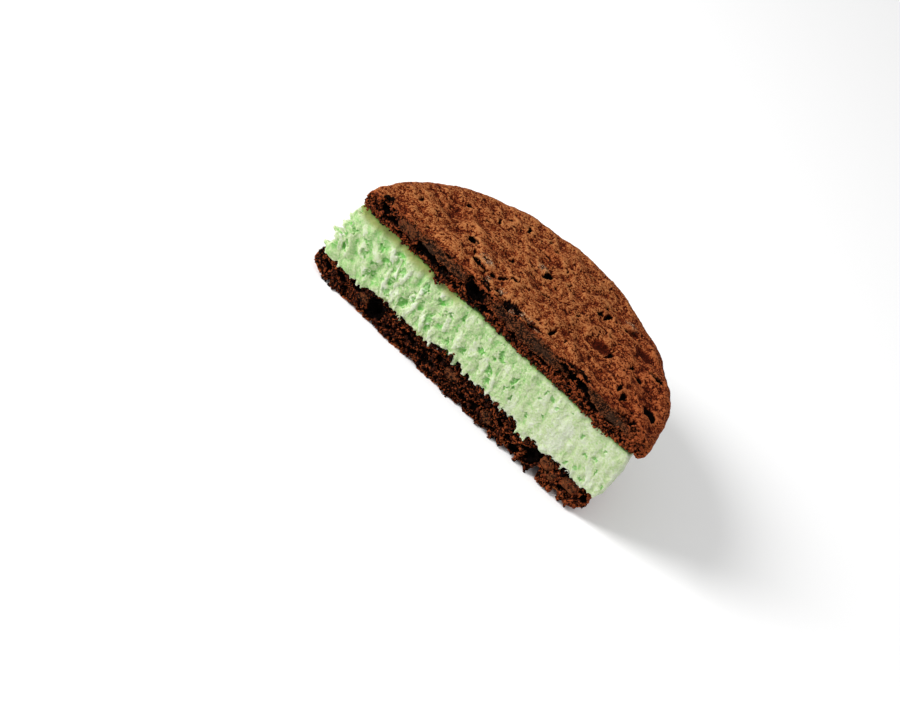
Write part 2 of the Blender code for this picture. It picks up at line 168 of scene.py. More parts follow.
class Graph:
    """A node tree, written as expressions."""

    def __init__(self, tree):
        self.tree = tree

    def feed(self, socket, value):
        if isinstance(value, Wire):
            self.tree.links.new(value.socket, socket)
        else:
            socket.default_value = value

    def node(self, kind, settings=None, inputs=None, output=0):
        """Any node: its settings first, then the values or wires of its sockets."""
        made = self.tree.nodes.new(kind)
        for name, value in (settings or {}).items():
            if name == "stops":
                self.set_stops(made.color_ramp, value)
            else:
                setattr(made, name, value)
        for name, value in (inputs or {}).items():
            self.feed(made.inputs[name], value)
        return Wire(self, made.outputs[output])

    @staticmethod
    def set_stops(ramp, stops):
        while len(ramp.elements) < len(stops):
            ramp.elements.new(1.0)
        for element, (place, rgb) in zip(ramp.elements, stops):
            element.position = place
            element.color = (*rgb, 1.0)

    def vector(self, operation, first, second=None):
        made = self.tree.nodes.new("ShaderNodeVectorMath")
        made.operation = operation
        self.feed(made.inputs[0], first)
        if operation == "SCALE":
            self.feed(made.inputs["Scale"], second)
        elif second is not None:
            self.feed(made.inputs[1], second)
        scalar = operation in {"DOT_PRODUCT", "LENGTH"}
        return Wire(self, made.outputs["Value" if scalar else "Vector"])

    def stretched(self, vector, factors):
        return self.vector("MULTIPLY", vector, factors)

    def place(self):
        """Millimetres from the middle of the cut, on the table."""
        if self.tree.bl_idname == "GeometryNodeTree":
            here = self.node("GeometryNodeInputPosition")
        else:
            here = self.node("ShaderNodeTexCoord", None, None, output="Object")
        from_cut = self.vector("SUBTRACT", here, (CUT_X, CUT_Y, 0.0))
        return self.vector("SCALE", from_cut, 1.0 / MM)

    def parts(self, vector):
        """The three numbers of a vector."""
        made = self.tree.nodes.new("ShaderNodeSeparateXYZ")
        self.feed(made.inputs[0], vector)
        return [Wire(self, socket) for socket in made.outputs]

    def joined(self, x, y, z):
        return self.node("ShaderNodeCombineXYZ", None, {"X": x, "Y": y, "Z": z})

    def noise(self, vector, scale, detail=2.0, roughness=0.5):
        """Soft noise about zero, mostly between -0.3 and 0.3."""
        sockets = {"Vector": vector, "Scale": scale, "Detail": detail, "Roughness": roughness}
        return self.node("ShaderNodeTexNoise", {"normalize": True}, sockets) - 0.5

    def cells(self, vector, scale, feature="F1"):
        sockets = {"Vector": vector, "Scale": scale}
        return self.node("ShaderNodeTexVoronoi", {"feature": feature}, sockets)

    def warped(self, vector, scale, amount):
        """A vector pushed about by noise, by up to about the amount."""
        sockets = {"Vector": vector, "Scale": scale, "Detail": 1.0}
        shift = self.node("ShaderNodeTexNoise", {"normalize": True}, sockets, output=1)
        centred = self.vector("SUBTRACT", shift, (0.5, 0.5, 0.5))
        return self.vector("ADD", vector, self.vector("SCALE", centred, 3.0 * amount))

    def blend(self, share, first, second):
        """From first to second, for colours."""
        made = self.tree.nodes.new("ShaderNodeMix")
        made.data_type = "RGBA"
        self.feed(made.inputs[0], share)
        self.feed(made.inputs[6], first if isinstance(first, Wire) else colour(first))
        self.feed(made.inputs[7], second if isinstance(second, Wire) else colour(second))
        return Wire(self, made.outputs[2])

    def ramp(self, share, *stops):
        return self.node("ShaderNodeValToRGB", {"stops": stops}, {"Fac": share})

    def attribute(self, name):
        if self.tree.bl_idname == "GeometryNodeTree":
            kind = {"data_type": "FLOAT"}
            return self.node("GeometryNodeInputNamedAttribute", kind, {"Name": name})
        return self.node("ShaderNodeAttribute", {"attribute_name": name}, None, output="Fac")

    def spot(self, along, across, spec):
        """0 in the middle of a turned oval, 1 on its edge and more beyond."""
        made = self.tree.nodes.new("GeometryNodeGroup")
        made.node_tree = bpy.data.node_groups.get("oval") or new_oval_group()
        x, y, half_length, half_width, turn = spec
        cosine, sine = math.cos(math.radians(turn)), math.sin(math.radians(turn))
        values = (along, across, x, y, cosine / half_length, sine / half_length)
        for index, value in enumerate((*values, cosine / half_width, sine / half_width)):
            self.feed(made.inputs[index], value)
        return Wire(self, made.outputs[0])


def new_oval_group():
    """The squared distance from an oval's middle, as a share of its half sizes."""
    tree = bpy.data.node_groups.new("oval", "GeometryNodeTree")
    for index in range(8):
        tree.interface.new_socket(f"in {index}", in_out="INPUT", socket_type="NodeSocketFloat")
    tree.interface.new_socket("out", in_out="OUTPUT", socket_type="NodeSocketFloat")
    graph = Graph(tree)
    sockets = tree.nodes.new("NodeGroupInput").outputs
    along, across, x, y, long_x, long_y, wide_y, wide_x = [Wire(graph, s) for s in sockets[:8]]
    from_x, from_y = along - x, across - y
    u = from_x * long_x + from_y * long_y
    v = from_y * wide_y - from_x * wide_x
    sink = tree.nodes.new("NodeGroupOutput")
    graph.feed(sink.inputs[0], u * u + v * v)
    return tree


def colour(rgb):
    return (*rgb, 1.0)


# ---------------------------------------------------------------- mesh building


def deselect_all():
    for obj in bpy.context.view_layer.objects:
        obj.select_set(False)


def make_active(obj):
    deselect_all()
    obj.select_set(True)
    bpy.context.view_layer.objects.active = obj


def copy_of_node(node, name):
    """A free copy of a CAD solid, its loose triangles merged."""
    obj = bpy.data.objects.new(name, frame["nodes"][node].data.copy())
    obj.data.name = name
    obj.data.materials.clear()
    bpy.context.scene.collection.objects.link(obj)
    make_active(obj)
    bpy.ops.object.mode_set(mode="EDIT")
    bpy.ops.mesh.select_all(action="SELECT")
    bpy.ops.mesh.remove_doubles(threshold=MERGE_DISTANCE)
    bpy.ops.object.mode_set(mode="OBJECT")
    return obj


def resized(obj, factors):
    """Grows a piece about the middle of its own box."""
    make_active(obj)
    corners = [Vector(corner) for corner in obj.bound_box]
    middle = sum(corners, Vector()) / len(corners)
    bpy.ops.object.mode_set(mode="EDIT")
    bpy.ops.mesh.select_all(action="SELECT")
    bpy.ops.transform.resize(value=factors, center_override=middle)
    bpy.ops.object.mode_set(mode="OBJECT")
    return obj


def join(obj, others):
    make_active(obj)
    for other in others:
        other.select_set(True)
    bpy.ops.object.join()
    return obj


def apply_modifier(obj, kind, **settings):
    modifier = obj.modifiers.new(kind.title(), kind)
    for name, value in settings.items():
        setattr(modifier, name, value)
    make_active(obj)
    bpy.ops.object.modifier_apply(modifier=modifier.name)


def select_faces(obj, chooser):
    """Leaves edit mode on, with just the faces selected that the chooser picks."""
    count = len(obj.data.polygons)
    centres = np.empty(count * 3)
    normals = np.empty(count * 3)
    obj.data.polygons.foreach_get("center", centres)
    obj.data.polygons.foreach_get("normal", normals)
    centres = (centres.reshape(-1, 3) - (CUT_X, CUT_Y, 0.0)) / MM
    make_active(obj)
    bpy.ops.object.mode_set(mode="EDIT")
    bpy.ops.mesh.select_mode(type="FACE")
    bpy.ops.mesh.select_all(action="DESELECT")
    bpy.ops.object.mode_set(mode="OBJECT")
    obj.data.polygons.foreach_set("select", chooser(centres, normals.reshape(-1, 3)))
    bpy.ops.object.mode_set(mode="EDIT")


def fine_skin(obj, voxel, hidden, cut):
    """Remakes a solid as small even faces: merged where hidden, and twice as fine on the cut."""
    apply_modifier(obj, "REMESH", mode="VOXEL", voxel_size=voxel)
    apply_modifier(obj, "SMOOTH", factor=0.5, iterations=1)
    select_faces(obj, hidden)
    bpy.ops.mesh.decimate(ratio=HIDDEN_SHARE)
    bpy.ops.object.mode_set(mode="OBJECT")
    select_faces(obj, cut)
    bpy.ops.mesh.subdivide(number_cuts=1, smoothness=0.0)
    bpy.ops.mesh.select_all(action="SELECT")
    bpy.ops.mesh.quads_convert_to_tris(quad_method="FIXED", ngon_method="CLIP")
    bpy.ops.object.mode_set(mode="OBJECT")
    return obj


def run_geometry(obj, build):
    """Applies the geometry nodes that build(graph, geometry) adds."""
    tree = bpy.data.node_groups.new(build.__name__, "GeometryNodeTree")
    tree.interface.new_socket("Geometry", in_out="INPUT", socket_type="NodeSocketGeometry")
    tree.interface.new_socket("Geometry", in_out="OUTPUT", socket_type="NodeSocketGeometry")
    graph = Graph(tree)
    result = build(graph, graph.node("NodeGroupInput"))
    sink = tree.nodes.new("NodeGroupOutput")
    graph.feed(sink.inputs[0], result)
    modifier = obj.modifiers.new(tree.name, "NODES")
    modifier.node_group = tree
    make_active(obj)
    bpy.ops.object.modifier_apply(modifier=modifier.name)
    bpy.data.node_groups.remove(tree)
    return obj


def stored(graph, geometry, name, value):
    return graph.node(
        "GeometryNodeStoreNamedAttribute",
        {"data_type": "FLOAT", "domain": "POINT"},
        {"Geometry": geometry, "Name": name, "Value": value},
    )


def raised(graph, geometry, height):
    """Moves the surface outwards by a height in millimetres, and keeps it in the solid's box."""
    normal = graph.node("GeometryNodeInputNormal")
    here = graph.node("GeometryNodeInputPosition")
    moved = graph.vector("ADD", here, graph.vector("SCALE", normal, height * MM))
    low, high = (tuple(corner) for corner in CAD_BOX)
    boxed = graph.vector("MINIMUM", graph.vector("MAXIMUM", moved, low), high)
    return graph.node("GeometryNodeSetPosition", None, {"Geometry": geometry, "Position": boxed})


def with_cavity(graph, geometry, name, iterations, reach):
    """Stores how far each point stands above (1) or below (0) its neighbours, with 0.5 level; the materials
    paint shade into the hollows and highlight onto the bumps from it.
    """
    here = graph.node("GeometryNodeInputPosition")
    kind = {"data_type": "FLOAT_VECTOR"}
    around = graph.node("GeometryNodeBlurAttribute", kind, {"Value": here, "Iterations": iterations})
    normal = graph.node("GeometryNodeInputNormal")
    stand = graph.vector("DOT_PRODUCT", graph.vector("SUBTRACT", here, around), normal)
    return stored(graph, geometry, name, (stand / (reach * MM) + 0.5).clamped())


def finish_piece(obj, nodes=()):
    obj.data.shade_smooth()
    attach(obj, BODY)
    if nodes:
        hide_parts(*nodes)
    print(obj.name, len(obj.data.polygons), "faces")


# ---------------------------------------------------------------- reliefs

# Sharp pits in the upper crust: place, half length, half width, turn in degrees
SHARP_PITS = (
    (-20.5, 12.0, 1.5, 0.9, -40),
    (-28.2, 23.7, 0.9, 0.6, 0),
    (-32.7, 21.2, 0.5, 0.35, 0),
    (-33.2, 16.9, 0.8, 0.3, 15),
    (-30.7, 17.8, 0.6, 0.35, -20),
    (-32.9, 14.8, 0.5, 0.35, 40),
    (-36.1, 10.7, 0.4, 1.2, 5),
    (-24.4, 9.5, 0.5, 0.35, 0),
    (-29.6, 4.6, 0.6, 0.4, 20),
    (-15.0, 6.3, 2.0, 0.4, -12),
    (-10.9, 17.6, 0.5, 1.2, -15),
    (-17.9, 8.6, 0.4, 0.8, 20),
    (-8.6, 8.6, 0.5, 1.4, -20),
    (-6.4, 10.6, 1.0, 0.5, 30),
    (-10.4, 6.9, 0.8, 0.6, -30),
    (-6.8, 30.2, 1.5, 0.45, -10),
    (-6.1, 34.6, 0.8, 0.45, 30),
    (-15.0, 35.2, 0.4, 0.9, 25),
    (-2.7, 23.3, 0.7, 1.5, -28),
    (0.9, 21.4, 0.45, 0.45, 0),
    (0.7, 16.1, 1.4, 0.35, 25),
    (-12.6, 24.7, 0.9, 0.3, 30),
    (5.0, 37.1, 0.5, 0.35, 0),
    (14.3, 28.3, 0.45, 1.4, -8),
    (12.4, 27.0, 0.35, 0.9, -15),
    (9.6, 19.3, 0.3, 0.9, -20),
    (8.9, 6.4, 0.4, 1.7, -5),
    (12.5, 7.1, 0.3, 0.9, 0),
    (21.0, 29.9, 1.5, 0.8, 15),
    (33.2, 23.2, 1.9, 0.9, 12),
    (30.4, 17.5, 1.2, 0.6, -10),
    (23.6, 13.2, 0.7, 0.3, -10),
    (38.4, 10.6, 2.0, 1.2, -35),
    (31.4, 7.4, 0.7, 1.3, 20),
    (33.6, 5.7, 2.0, 0.6, 15),
    (29.2, 8.8, 0.35, 1.3, 5),
    (26.1, 22.6, 0.9, 0.3, 40),
    (37.4, 2.6, 0.9, 1.4, 10),
    (35.0, 1.6, 0.9, 0.9, 0),
    (-14.7, 33.6, 0.4, 1.2, 10),
    (12.6, 31.0, 0.4, 0.7, 0),
    (2.1, 26.8, 0.3, 1.2, -10),
    (-1.0, 31.2, 0.35, 0.9, 30),
    (-1.8, 18.6, 0.5, 0.4, 0),
    (-5.0, 18.9, 0.9, 0.3, 20),
    (-3.2, 12.1, 0.7, 0.3, 20),
    (18.6, 22.9, 0.9, 0.35, 10),
    (27.4, 19.2, 0.4, 1.3, -10),
    (-22.5, 23.9, 0.6, 0.35, 0),
    (-21.0, 27.6, 0.4, 0.7, 20),
    (-19.3, 31.8, 0.5, 0.35, 0),
    (-9.2, 36.2, 0.4, 0.6, 0),
    (-17.5, 13.6, 0.35, 0.6, 0),
    (6.4, 31.4, 0.5, 0.3, 20),
)
PIT_DEPTH = 0.9

# Soft dents (deep) and swellings (negative) of the upper crust: place, half lengths, turn, depth
SOFT_DENTS = (
    (18.5, 16.6, 3.6, 2.8, 20, 0.7),
    (26.6, 27.6, 3.2, 2.0, 10, 0.6),
    (15.2, 15.0, 1.5, 1.2, 0, 0.4),
    (-31.0, 18.0, 6.5, 4.5, 30, 0.35),
    (-3.0, 28.5, 6.0, 3.0, 0, 0.3),
    (4.0, 22.0, 3.0, 7.0, -10, 0.25),
    (24.5, 9.0, 4.0, 5.0, 0, 0.3),
    (36.0, 15.0, 2.0, 4.0, 25, 0.35),
    (-14.2, 8.6, 3.6, 2.3, -15, -0.45),
    (-5.4, 24.0, 2.8, 2.2, 20, -0.5),
    (19.8, 33.0, 2.8, 2.0, 20, -0.5),
    (-23.0, 6.0, 6.0, 3.0, 5, -0.3),
    (-10.0, 27.0, 3.0, 4.0, 0, -0.3),
    (3.0, 9.5, 7.0, 3.5, 10, -0.35),
    (20.0, 24.0, 5.0, 2.2, 15, -0.4),
    (31.5, 20.5, 2.4, 1.6, 30, -0.4),
    (35.5, 8.5, 1.6, 1.3, 0, -0.45),
    (28.0, 12.5, 2.5, 2.0, 0, -0.3),
)

# Curved cracks of the upper crust: centre, radius, first and last angle in degrees
CURVED_CRACKS = (
    (16.0, 17.2, 6.0, -35, 35),
    (16.0, 17.2, 6.0, -80, -50),
    (34.0, 8.0, 2.6, 200, 300),
)
CRACK_HALF_WIDTH = 0.35

# Broken crust along the cut: place along it, half length, half width
BROKEN_EDGE = (
    (-10.2, 2.6, 1.5, 0.9, 0),
    (-6.6, 3.6, 1.3, 1.0, 20),
    (-1.4, 2.2, 3.4, 1.9, 0),
    (5.0, 3.0, 2.8, 1.2, 10),
    (36.5, 1.6, 3.4, 2.0, 0),
)

# Smooth knife-smeared parts of the upper cut: place, height, half length, half height, turn
SMEARS = (
    (-32.4, 28.1, 3.2, 1.7, 4),
    (-21.5, 28.9, 8.6, 1.6, 0),
    (6.0, 28.8, 12.2, 2.0, 0),
    (31.0, 28.6, 7.6, 1.7, -4),
)
# Cavities of the cuts, painted black as shade: place, height, half length, half height, turn
UPPER_CAVITIES = (
    (-10.6, 28.3, 2.9, 2.1, -25),
    (-9.2, 27.2, 3.4, 1.7, -38),
    (-8.0, 26.4, 2.2, 1.2, -20),
    (-25.0, 26.8, 3.2, 0.9, -8),
    (-21.5, 25.6, 3.0, 0.7, -10),
    (-19.0, 26.3, 1.3, 1.0, 0),
    (-16.5, 24.7, 1.2, 0.9, -10),
    (-37.6, 27.2, 2.4, 0.9, -10),
    (-40.0, 28.6, 1.0, 1.6, 10),
    (-28.4, 25.6, 1.8, 0.6, 0),
    (-33.5, 25.2, 1.3, 0.5, 0),
    (-20.7, 30.1, 0.9, 0.4, 0),
    (20.3, 29.4, 3.6, 1.0, -6),
    (24.7, 28.4, 1.9, 0.55, -30),
    (28.0, 26.6, 1.5, 0.5, 0),
    (33.4, 27.4, 1.2, 0.4, 10),
    (12.0, 26.4, 1.6, 0.4, 0),
    (2.5, 26.2, 1.3, 0.4, 0),
    (40.6, 30.6, 0.5, 0.9, 0),
)
LOWER_CAVITIES = (
    (-27.3, 4.2, 1.9, 2.6, 0),
    (-22.4, 3.2, 0.9, 0.6, 20),
    (-17.0, 5.2, 2.4, 0.6, 0),
    (-14.5, 2.8, 1.2, 0.6, 20),
    (-38.6, 4.6, 1.5, 0.7, -20),
    (-34.0, 5.6, 1.4, 0.8, 20),
    (-43.0, 4.4, 1.2, 0.6, -30),
    (-6.5, 7.0, 1.8, 0.8, -10),
    (-8.5, 3.6, 1.0, 0.5, 0),
    (2.2, 3.0, 1.2, 0.6, 10),
    (6.2, 3.2, 0.9, 0.6, 0),
    (13.3, 5.2, 0.9, 0.6, -30),
    (11.8, 1.9, 1.2, 0.5, 20),
    (19.8, 2.4, 1.3, 0.8, 10),
    (18.2, 5.9, 1.2, 0.6, 0),
    (24.9, 4.6, 1.5, 2.6, -15),
    (22.6, 4.6, 1.8, 0.5, 0),
    (32.0, 7.7, 2.2, 0.7, 0),
    (29.0, 4.4, 0.9, 0.4, -20),
    (34.3, 3.5, 0.6, 1.6, -20),
    (40.4, 5.3, 0.8, 1.0, 0),
)

# Brown chips of chocolate that the knife smeared level with the lower cut
LOWER_SMEARS = (
    (-3.0, 5.8, 1.9, 1.4, 10),
    (10.0, 3.5, 1.9, 1.2, -20),
    (27.9, 6.5, 1.6, 1.2, 0),
    (36.0, 6.1, 2.0, 1.4, 10),
    (30.4, 3.8, 1.5, 1.1, 20),
    (-31.4, 4.6, 1.6, 1.2, 30),
)

# Bites out of the lower cookie's underside at the cut: place, half width, height
UNDERSIDE_BITES = (
    (11.4, 0.8, 1.4),
    (14.9, 0.7, 1.2),
    (18.5, 1.9, 1.2),
    (23.5, 1.0, 1.0),
    (26.8, 1.1, 3.6),
    (33.8, 0.7, 1.2),
    (-12.0, 1.2, 0.9),
)

# Darker, redder patches of the crust in its dents and round its pits, partly painted shade: place, half
# length, half width, turn, strength
CRUST_SHADED_PATCHES = (
    (18.5, 16.8, 2.0, 2.6, 0, 1.3),
    (26.6, 27.6, 2.7, 2.0, 10, 1.3),
    (33.5, 23.5, 2.6, 1.4, 15, 0.7),
    (36.5, 11.5, 3.0, 2.2, -30, 0.8),
    (32.5, 6.0, 3.4, 2.2, 0, 0.8),
    (37.0, 2.6, 4.0, 2.8, 0, 0.8),
    (20.6, 31.6, 2.2, 1.6, 0, 0.6),
    (-30.5, 17.5, 4.0, 3.0, 30, 0.35),
    (-6.6, 31.5, 2.4, 3.6, 20, 0.4),
    (-9.5, 7.0, 3.0, 2.4, 0, 0.4),
    (13.6, 28.6, 1.8, 3.0, -10, 0.4),
    (-36.0, 2.6, 3.0, 2.0, 0, 0.5),
    (-28.5, 24.0, 2.6, 2.0, 0, 0.3),
)


def marks(graph, along, across, specs, ragged=0.0, soft=0.45):
    """1 inside any of the turned ovals, whose edges the ragged noise eats into."""
    nearest = None
    for spec in specs:
        spot = graph.spot(along, across, spec[:5])
        nearest = spot if nearest is None else nearest.math("MINIMUM", nearest, spot)
    return (nearest + ragged).below(1.05 - soft, 1.05 + soft)


def dents(graph, along, across, specs):
    """Millimetres of depth from soft ovals."""
    total = 0.0
    for spec in specs:
        total = graph.spot(along, across, spec[:5]).below(0.0, 1.6) * spec[5] + total
    return total


def curved_cracks(graph, along, across):
    """1 on the thin arcs of the curved cracks."""
    total = None
    for x, y, radius, first, last in CURVED_CRACKS:
        from_x, from_y = along - x, across - y
        away = from_x.math("SQRT", from_x * from_x + from_y * from_y)
        middle = math.radians((first + last) / 2)
        facing = (from_x * math.cos(middle) + from_y * math.sin(middle)) / away.larger(0.1)
        limit = math.cos(math.radians((last - first) / 2))
        arc = facing.above(limit - 0.02, limit + 0.12)
        line = abs(away - radius).below(CRACK_HALF_WIDTH * 0.4, CRACK_HALF_WIDTH) * arc
        total = line if total is None else total.larger(line)
    return total


def crust_share(graph, place, turned_up):
    """1 on a cookie's crust and 0 where the knife went, before the relief is added."""
    x, y, z = graph.parts(place)
    normal = graph.parts(graph.node("GeometryNodeInputNormal"))
    outwards = normal[2] * turned_up
    rough = graph.noise(place, 0.9, 2.0) * 1.2
    behind = (y + rough).above(0.1, 1.0)
    reach = graph.vector("LENGTH", graph.joined(x, y, 0.0))
    middle = z.above(28.6, 29.4) if turned_up > 0 else z.below(1.4, 2.2)
    flat = outwards.above(0.35, 0.6) * middle.larger(reach.above(36.0, 38.0))
    rim = (1.0 - (normal[1] * -1.0).above(0.3, 0.6)) * reach.above(38.5, 40.5)
    return (behind * flat.larger(rim)).clamped()


def crust_pits(graph, place):
    """Where the crust is open: placed pits, curved cracks and scattered small specks."""
    warp = graph.warped(place, 1.0, 0.5)
    x, y, z = graph.parts(warp)
    eaten = graph.noise(place, 1.6, 2.0, 0.7)
    placed = marks(graph, x, y, SHARP_PITS, eaten * 2.6 - 0.5)
    placed = placed.larger(curved_cracks(graph, x, y) * eaten.above(-0.3, -0.12))
    broken = marks(graph, x, y, BROKEN_EDGE, eaten * 3.5 + 0.05)
    creased = abs(graph.noise(graph.warped(place, 0.5, 1.2), 0.4, 2.0)).below(0.0, 0.045)
    creases = creased * graph.noise(place, 0.4, 2.0).above(0.0, 0.08)
    specks = graph.noise(graph.warped(place, 0.8, 0.6), 1.0, 3.0, 0.7).above(0.09, 0.17)
    return placed, broken, creases.larger(specks)


def crust_height(graph, place):
    """Millimetres above the smooth crust: soft swells, lumps and fine grain, calmer at the rim."""
    x, y, z = graph.parts(place)
    reach = graph.vector("LENGTH", graph.joined(x, y, 0.0))
    calm = reach.below(41.0, 44.5) * 0.6 + 0.4
    swell = graph.noise(place, 0.13, 1.0) * 2.6
    lumps = graph.noise(graph.warped(place, 0.3, 1.0), 0.3, 1.0) * 1.6
    knobs = graph.noise(graph.warped(place, 0.6, 0.5), 0.7, 1.0) * 0.22
    grain = graph.noise(place, 2.4, 2.0, 0.7) * 0.2
    return (swell + lumps) * calm + knobs + grain - 0.25


def crumb_height(graph, place):
    """Millimetres above the cut: crumbs and the gaps between them, and where the gaps are."""
    rough = graph.warped(place, 1.2, 0.5)
    clumps = 0.42 - graph.cells(rough, 1.15)
    small = graph.noise(place, 2.0, 3.0, 0.75)
    gaps = graph.noise(rough, 0.5, 4.0, 0.75).above(-0.03, 0.08)
    return clumps * 0.6 + small * 1.4 - gaps * 1.2 - 0.1, gaps


def upper_relief(graph, geometry):
    return cookie_relief(graph, geometry, 1.0)


def lower_relief(graph, geometry):
    return cookie_relief(graph, geometry, -1.0)


def cookie_relief(graph, geometry, turned_up):
    place = graph.place()
    x, y, z = graph.parts(place)
    warp = graph.warped(place, 0.7, 0.5)
    along, deep, high = graph.parts(warp)
    smeared = 0.0
    ragged = graph.noise(place, 1.3, 2.0, 0.7) * 2.0
    holes = UPPER_CAVITIES if turned_up > 0 else LOWER_CAVITIES
    cavities = marks(graph, along, high, holes, ragged * 0.8 - 0.42, 0.35)
    crust = crust_share(graph, place, turned_up) * (1.0 - cavities * y.below(1.2, 2.0))
    facing = graph.parts(graph.node("GeometryNodeInputNormal"))[1].below(-0.5, -0.1)
    front = y.below(2.0, 3.5) * (1.0 - crust) * facing.larger(y.above(0.2, 0.7) * z.below(29.7, 30.1))
    geometry = stored(graph, geometry, "crust", crust)
    # hollow marks the cavities' fronts, which the materials paint black as shade; dim, its blur, paints shade
    # round them
    geometry = stored(graph, geometry, "hollow", cavities * front)
    around = {"Value": graph.attribute("hollow"), "Iterations": 14}
    dimmed = graph.node("GeometryNodeBlurAttribute", {"data_type": "FLOAT"}, around)
    geometry = stored(graph, geometry, "dim", dimmed)
    outside = crust_height(graph, place)
    inside, gaps = crumb_height(graph, place)
    if turned_up > 0:
        smeared = marks(graph, along, high, SMEARS, graph.noise(place, 0.8, 3.0, 0.7) * 2.5)
        smeared = smeared * (1.0 - graph.noise(place, 1.1, 3.0, 0.7).above(0.09, 0.17) * 0.8)
        placed, broken, specks = crust_pits(graph, place)
        top = z.above(26.0, 28.0) * (1.0 - cavities * front)
        # The open pits are painted black as shade, and the crack creases and specks darker and redder, partly
        # as shade
        geometry = stored(graph, geometry, "open", placed.larger(broken) * top * crust.above(0.2, 0.6))
        geometry = stored(graph, geometry, "crack", specks * top)
        outside = outside - placed * PIT_DEPTH - broken * 0.9 - specks * 0.4
        outside = outside - dents(graph, x, y, SOFT_DENTS)
        # Darker, redder patches in the dents and round the pits, partly painted shade
        geometry = stored(graph, geometry, "stain", dents(graph, x, y, CRUST_SHADED_PATCHES) * y.above(0.5, 1.5))
        # Pale specks round the chips: painted glints, partly the chips' grey bloom
        bloom_and_glint_spots = [(*chip[:2], chip[2] * 1.3, chip[2] * 1.1, 0.0) for chip in CRUST_CHIPS]
        geometry = stored(graph, geometry, "bloom", marks(graph, x, y, bloom_and_glint_spots, 0.0, 0.9) * top)
    else:
        smeared = marks(graph, along, high, LOWER_SMEARS, ragged * 0.7) * y.below(1.2, 2.0)
        underside = y.below(1.2, 2.2) * z.below(1.0, 2.2)
        bitten = graph.noise(graph.stretched(place, (1.0, 0.2, 0.2)), 0.55, 3.0, 0.7)
        outside = outside - underside * bitten.above(-0.02, 0.16) * 1.3
        inside = inside - underside * bitten.above(-0.02, 0.16) * 1.3
    grain = graph.noise(place, 2.0, 2.0, 0.65) * 0.4
    inside = inside.towards(smeared * 0.9, grain + 0.05)
    geometry = stored(graph, geometry, "smear", smeared)
    # The gaps between the crumbs, which the crumb colour paints darker as shade
    geometry = stored(graph, geometry, "gap", gaps * (1.0 - smeared))
    inside = inside - cavities * front * y.below(0.5, 1.2) * 1.0
    height = inside.towards(crust, outside)
    geometry = raised(graph, geometry, height)
    if turned_up < 0:
        geometry = bitten_underside(graph, geometry)
    geometry = with_cavity(graph, geometry, "fine", 5, 0.35)
    return with_cavity(graph, geometry, "broad", 30, 1.0)


def bitten_underside(graph, geometry):
    """Lifts the underside into its bites, just behind the cut."""
    place = graph.place()
    x, y, z = graph.parts(place)
    ragged = graph.noise(place, 1.2, 2.0, 0.7) * 1.2
    bite = 0.0
    for middle, half, rise in UNDERSIDE_BITES:
        bite = ((abs(x - middle) + ragged).below(half * 0.6, half * 1.3) * rise).larger(bite)
    lift = (bite - z).larger(0.0) * y.below(bite * 1.5 + 0.5, bite * 1.5 + 1.5) * 0.95
    offset = graph.joined(0.0, 0.0, lift * MM)
    return graph.node("GeometryNodeSetPosition", None, {"Geometry": geometry, "Offset": offset})


# Torn pits of the ice cream, painted deep green as shade: place, height, half width, half height, turn
ICE_PITS = (
    (-30.2, 21.0, 1.0, 0.7, 20),
    (-34.6, 19.0, 0.8, 0.6, -20),
    (-31.9, 17.2, 1.2, 0.9, 0),
    (-27.0, 18.2, 0.9, 1.3, 10),
    (-28.0, 13.6, 0.7, 1.4, 20),
    (-27.5, 10.8, 1.0, 0.8, 10),
    (-23.0, 11.4, 1.2, 1.0, 20),
    (-42.5, 12.6, 0.6, 1.4, 10),
    (-42.6, 17.4, 0.6, 1.0, 30),
    (-39.0, 17.6, 0.9, 0.7, -30),
    (-37.4, 14.5, 0.7, 1.2, 35),
    (-34.2, 14.3, 0.8, 0.8, 20),
    (-33.5, 11.0, 1.4, 0.9, 30),
    (-15.5, 19.2, 0.9, 1.2, 0),
    (-15.2, 13.2, 1.0, 1.6, 10),
    (-20.2, 19.4, 0.7, 1.2, 10),
    (-21.0, 14.3, 0.5, 1.3, 15),
    (-11.6, 18.6, 0.7, 0.9, 0),
    (-8.6, 20.4, 0.5, 1.0, 0),
    (-8.8, 12.4, 0.6, 0.9, 0),
    (-4.2, 13.4, 1.1, 1.0, 20),
    (-0.8, 17.0, 1.0, 0.6, 0),
    (3.7, 20.2, 0.8, 0.8, -30),
    (4.3, 18.9, 0.9, 0.7, 0),
    (2.7, 18.0, 0.5, 0.5, 0),
    (-0.2, 16.8, 0.4, 0.5, 0),
    (3.8, 14.4, 0.8, 1.3, 10),
    (4.6, 12.0, 0.7, 1.2, -20),
    (9.9, 17.2, 0.5, 1.3, -25),
    (10.8, 15.6, 0.7, 0.8, 0),
    (9.3, 13.9, 0.5, 0.6, 0),
    (11.6, 13.2, 0.4, 0.9, 0),
    (17.2, 18.4, 0.5, 0.6, 0),
    (17.6, 21.0, 0.4, 0.6, 0),
    (19.5, 20.8, 0.5, 0.8, 0),
    (22.1, 19.8, 0.5, 0.5, 0),
    (25.3, 21.7, 0.3, 0.3, 0),
    (17.1, 12.1, 0.5, 0.6, 0),
    (20.3, 15.2, 0.4, 0.4, 0),
    (30.6, 18.8, 0.8, 0.6, 20),
    (33.6, 15.5, 0.5, 0.6, 0),
    (36.4, 16.6, 0.6, 0.6, 0),
    (37.0, 19.9, 0.4, 0.6, 0),
    (38.2, 14.3, 0.3, 0.7, 0),
    (41.7, 11.8, 0.4, 0.6, 0),
    (31.2, 10.0, 0.6, 0.5, 0),
    (33.9, 10.6, 0.6, 0.6, 0),
    (36.4, 9.6, 0.5, 0.7, 0),
)


